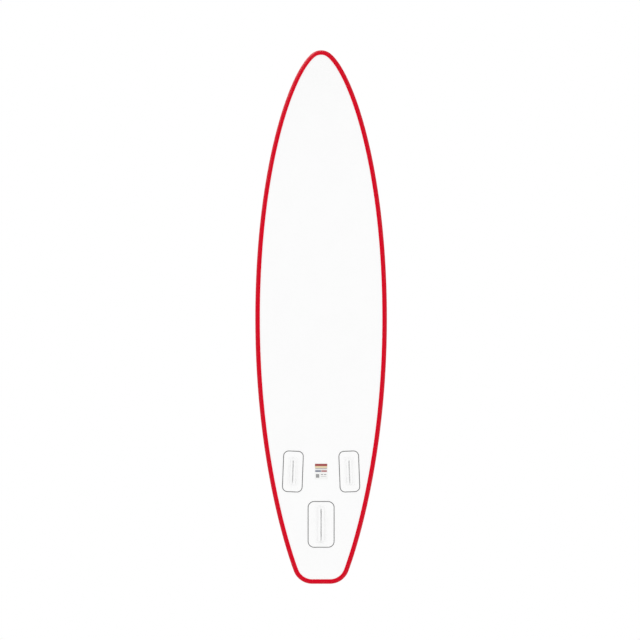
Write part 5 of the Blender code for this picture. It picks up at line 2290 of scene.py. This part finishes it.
@dataclass
class Studio:
    """The camera below the board, the pale floor that shows through from below, and the light."""

    lens: float = 1000.0
    camera_at: Triple = (-0.0066, 0.0190, 0.075 - 106.50)
    floor_radius: float = 60.0
    floor_z: float = -0.8 * MM
    floor_shade: Triple = (0.48, 0.48, 0.48)
    floor_glow: float = 0.62
    painted_shadow_reach: float = 0.5
    table: float = 1.06
    sky: float = 0.50
    sun: float = 1.30
    sun_turn: Triple = (math.radians(24), 0.0, math.radians(-40))
    sun_width: float = math.radians(25)

    def build(self) -> None:
        """Sets up the view, the floor and the light."""
        bpy.context.scene.view_settings.view_transform = "Standard"
        self.camera()
        self.floor()
        self.world()
        data = bpy.data.lights.new("key", "SUN")
        data.energy = self.sun
        data.angle = self.sun_width
        link(bpy.data.objects.new("key", data)).rotation_euler = self.sun_turn

    def camera(self) -> None:
        """A long lens that looks straight up at the hull, with the nose at the top of the picture."""
        data = bpy.data.cameras.new("camera")
        data.lens = self.lens
        data.sensor_width = 36.0
        data.clip_end = 1000.0
        made = link(bpy.data.objects.new("camera", data))
        made.location = self.camera_at
        made.rotation_euler = (math.pi, 0, 0)
        bpy.context.scene.camera = made

    def floor(self) -> None:
        """A plain floor: lit and shadowed from above, with a painted contact shadow in its glow, clear from
        below, and even light to the rest.
        """
        edge = circle(self.floor_radius, self.floor_z, 64)
        mesh = bpy.data.meshes.new("floor")
        mesh.from_pydata([tuple(p) for p in edge], [], [tuple(range(len(edge)))])
        floor = link(bpy.data.objects.new("floor", mesh))
        material = bpy.data.materials.new("floor")
        graph = Graph.blank(material)
        paint = graph.get("ShaderNodeBsdfDiffuse", {"Color": (*self.floor_shade, 1.0)})
        # Ambient occlusion scales the floor's glow: a painted contact shadow round the board, on top of the
        # real shadow in the diffuse.
        near = graph.get("ShaderNodeAmbientOcclusion", {"Distance": self.painted_shadow_reach}, output="AO", samples=16)
        glow = graph.get("ShaderNodeEmission", {"Color": WHITE, "Strength": near * self.floor_glow})
        lit = graph.get("ShaderNodeAddShader", {0: paint, 1: glow})
        below = graph.get("ShaderNodeNewGeometry", output="Backfacing")
        clear = graph.get("ShaderNodeBsdfTransparent")
        seen = graph.get("ShaderNodeMixShader", {0: below, 1: lit, 2: clear})
        light = graph.add("ShaderNodeLightPath").outputs
        table = graph.math("MULTIPLY_ADD", light["Is Diffuse Ray"], self.table - 1, 1.0)
        even = graph.get("ShaderNodeEmission", {"Color": WHITE, "Strength": table})
        shown = graph.get("ShaderNodeMixShader", {0: light["Is Camera Ray"], 1: even, 2: seen})
        graph.add("ShaderNodeOutputMaterial", {"Surface": shown})
        floor.data.materials.append(material)

    def world(self) -> None:
        """White to the camera and in reflections, and a softer fill on everything else."""
        world = bpy.data.worlds.new("sky")
        graph = Graph.blank(world)
        light = graph.add("ShaderNodeLightPath").outputs
        seen = graph.math("ADD", light["Is Camera Ray"], light["Is Glossy Ray"])
        seen = graph.math("ADD", seen, light["Is Transmission Ray"], clamp=True)
        strength = graph.math("MULTIPLY_ADD", seen, 1 - self.sky, self.sky)
        sky = graph.get("ShaderNodeBackground", {"Color": WHITE, "Strength": strength})
        graph.add("ShaderNodeOutputWorld", {"Surface": sky})
        bpy.context.scene.world = world


def sub_assemblies() -> list[SubAssembly]:
    """Every sub-assembly of the board, in the order that they are built.

    Returns:
        The sub-assemblies.
    """
    side_patch, centre_patch = (0.117, 0.243, 0.030), (0.155, 0.273, 0.035)
    side_box, centre_box = (0.030, 0.150, 10.0 * MM), (0.034, 0.205, 12.4 * MM)
    toe = math.radians(2.2)
    parts: list[SubAssembly] = [Hull()]
    for name, side in (("left", 1), ("right", -1)):
        at = (side * 0.169, 0.926, -side * toe)
        parts.append(FinPlace(name, *at, side_patch, side_box, 10 * MM, 3.2 * MM, -side))
    parts.append(FinPlace("centre", 0.0, 1.243, 0.0, centre_patch, centre_box, 12 * MM, 3.6 * MM, 1))
    parts += [HullDecal(), DeckPads(), CarryHandle()]
    rings = {
        "nose_ring": (0.0, -1.455, 1),
        "cargo_ring_front_left": (0.150, -1.165, -1),
        "cargo_ring_front_right": (-0.150, -1.165, -1),
        "cargo_ring_rear_left": (0.205, -0.790, 1),
        "cargo_ring_rear_right": (-0.205, -0.790, 1),
        "leash_ring": (0.0, 1.490, -1),
    }
    parts += [DeckRing(name, *spot) for name, spot in rings.items()]
    return parts + [Valve()]


def main() -> None:
    """Builds the studio and the board."""
    logging.basicConfig(level=logging.INFO, format="%(message)s")
    discard(*list(bpy.data.objects))
    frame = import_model()
    SubAssembly.nodes = frame["nodes"]
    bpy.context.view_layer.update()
    Studio().build()
    for part in sub_assemblies():
        part.build()


if __name__ == "__main__":
    main()
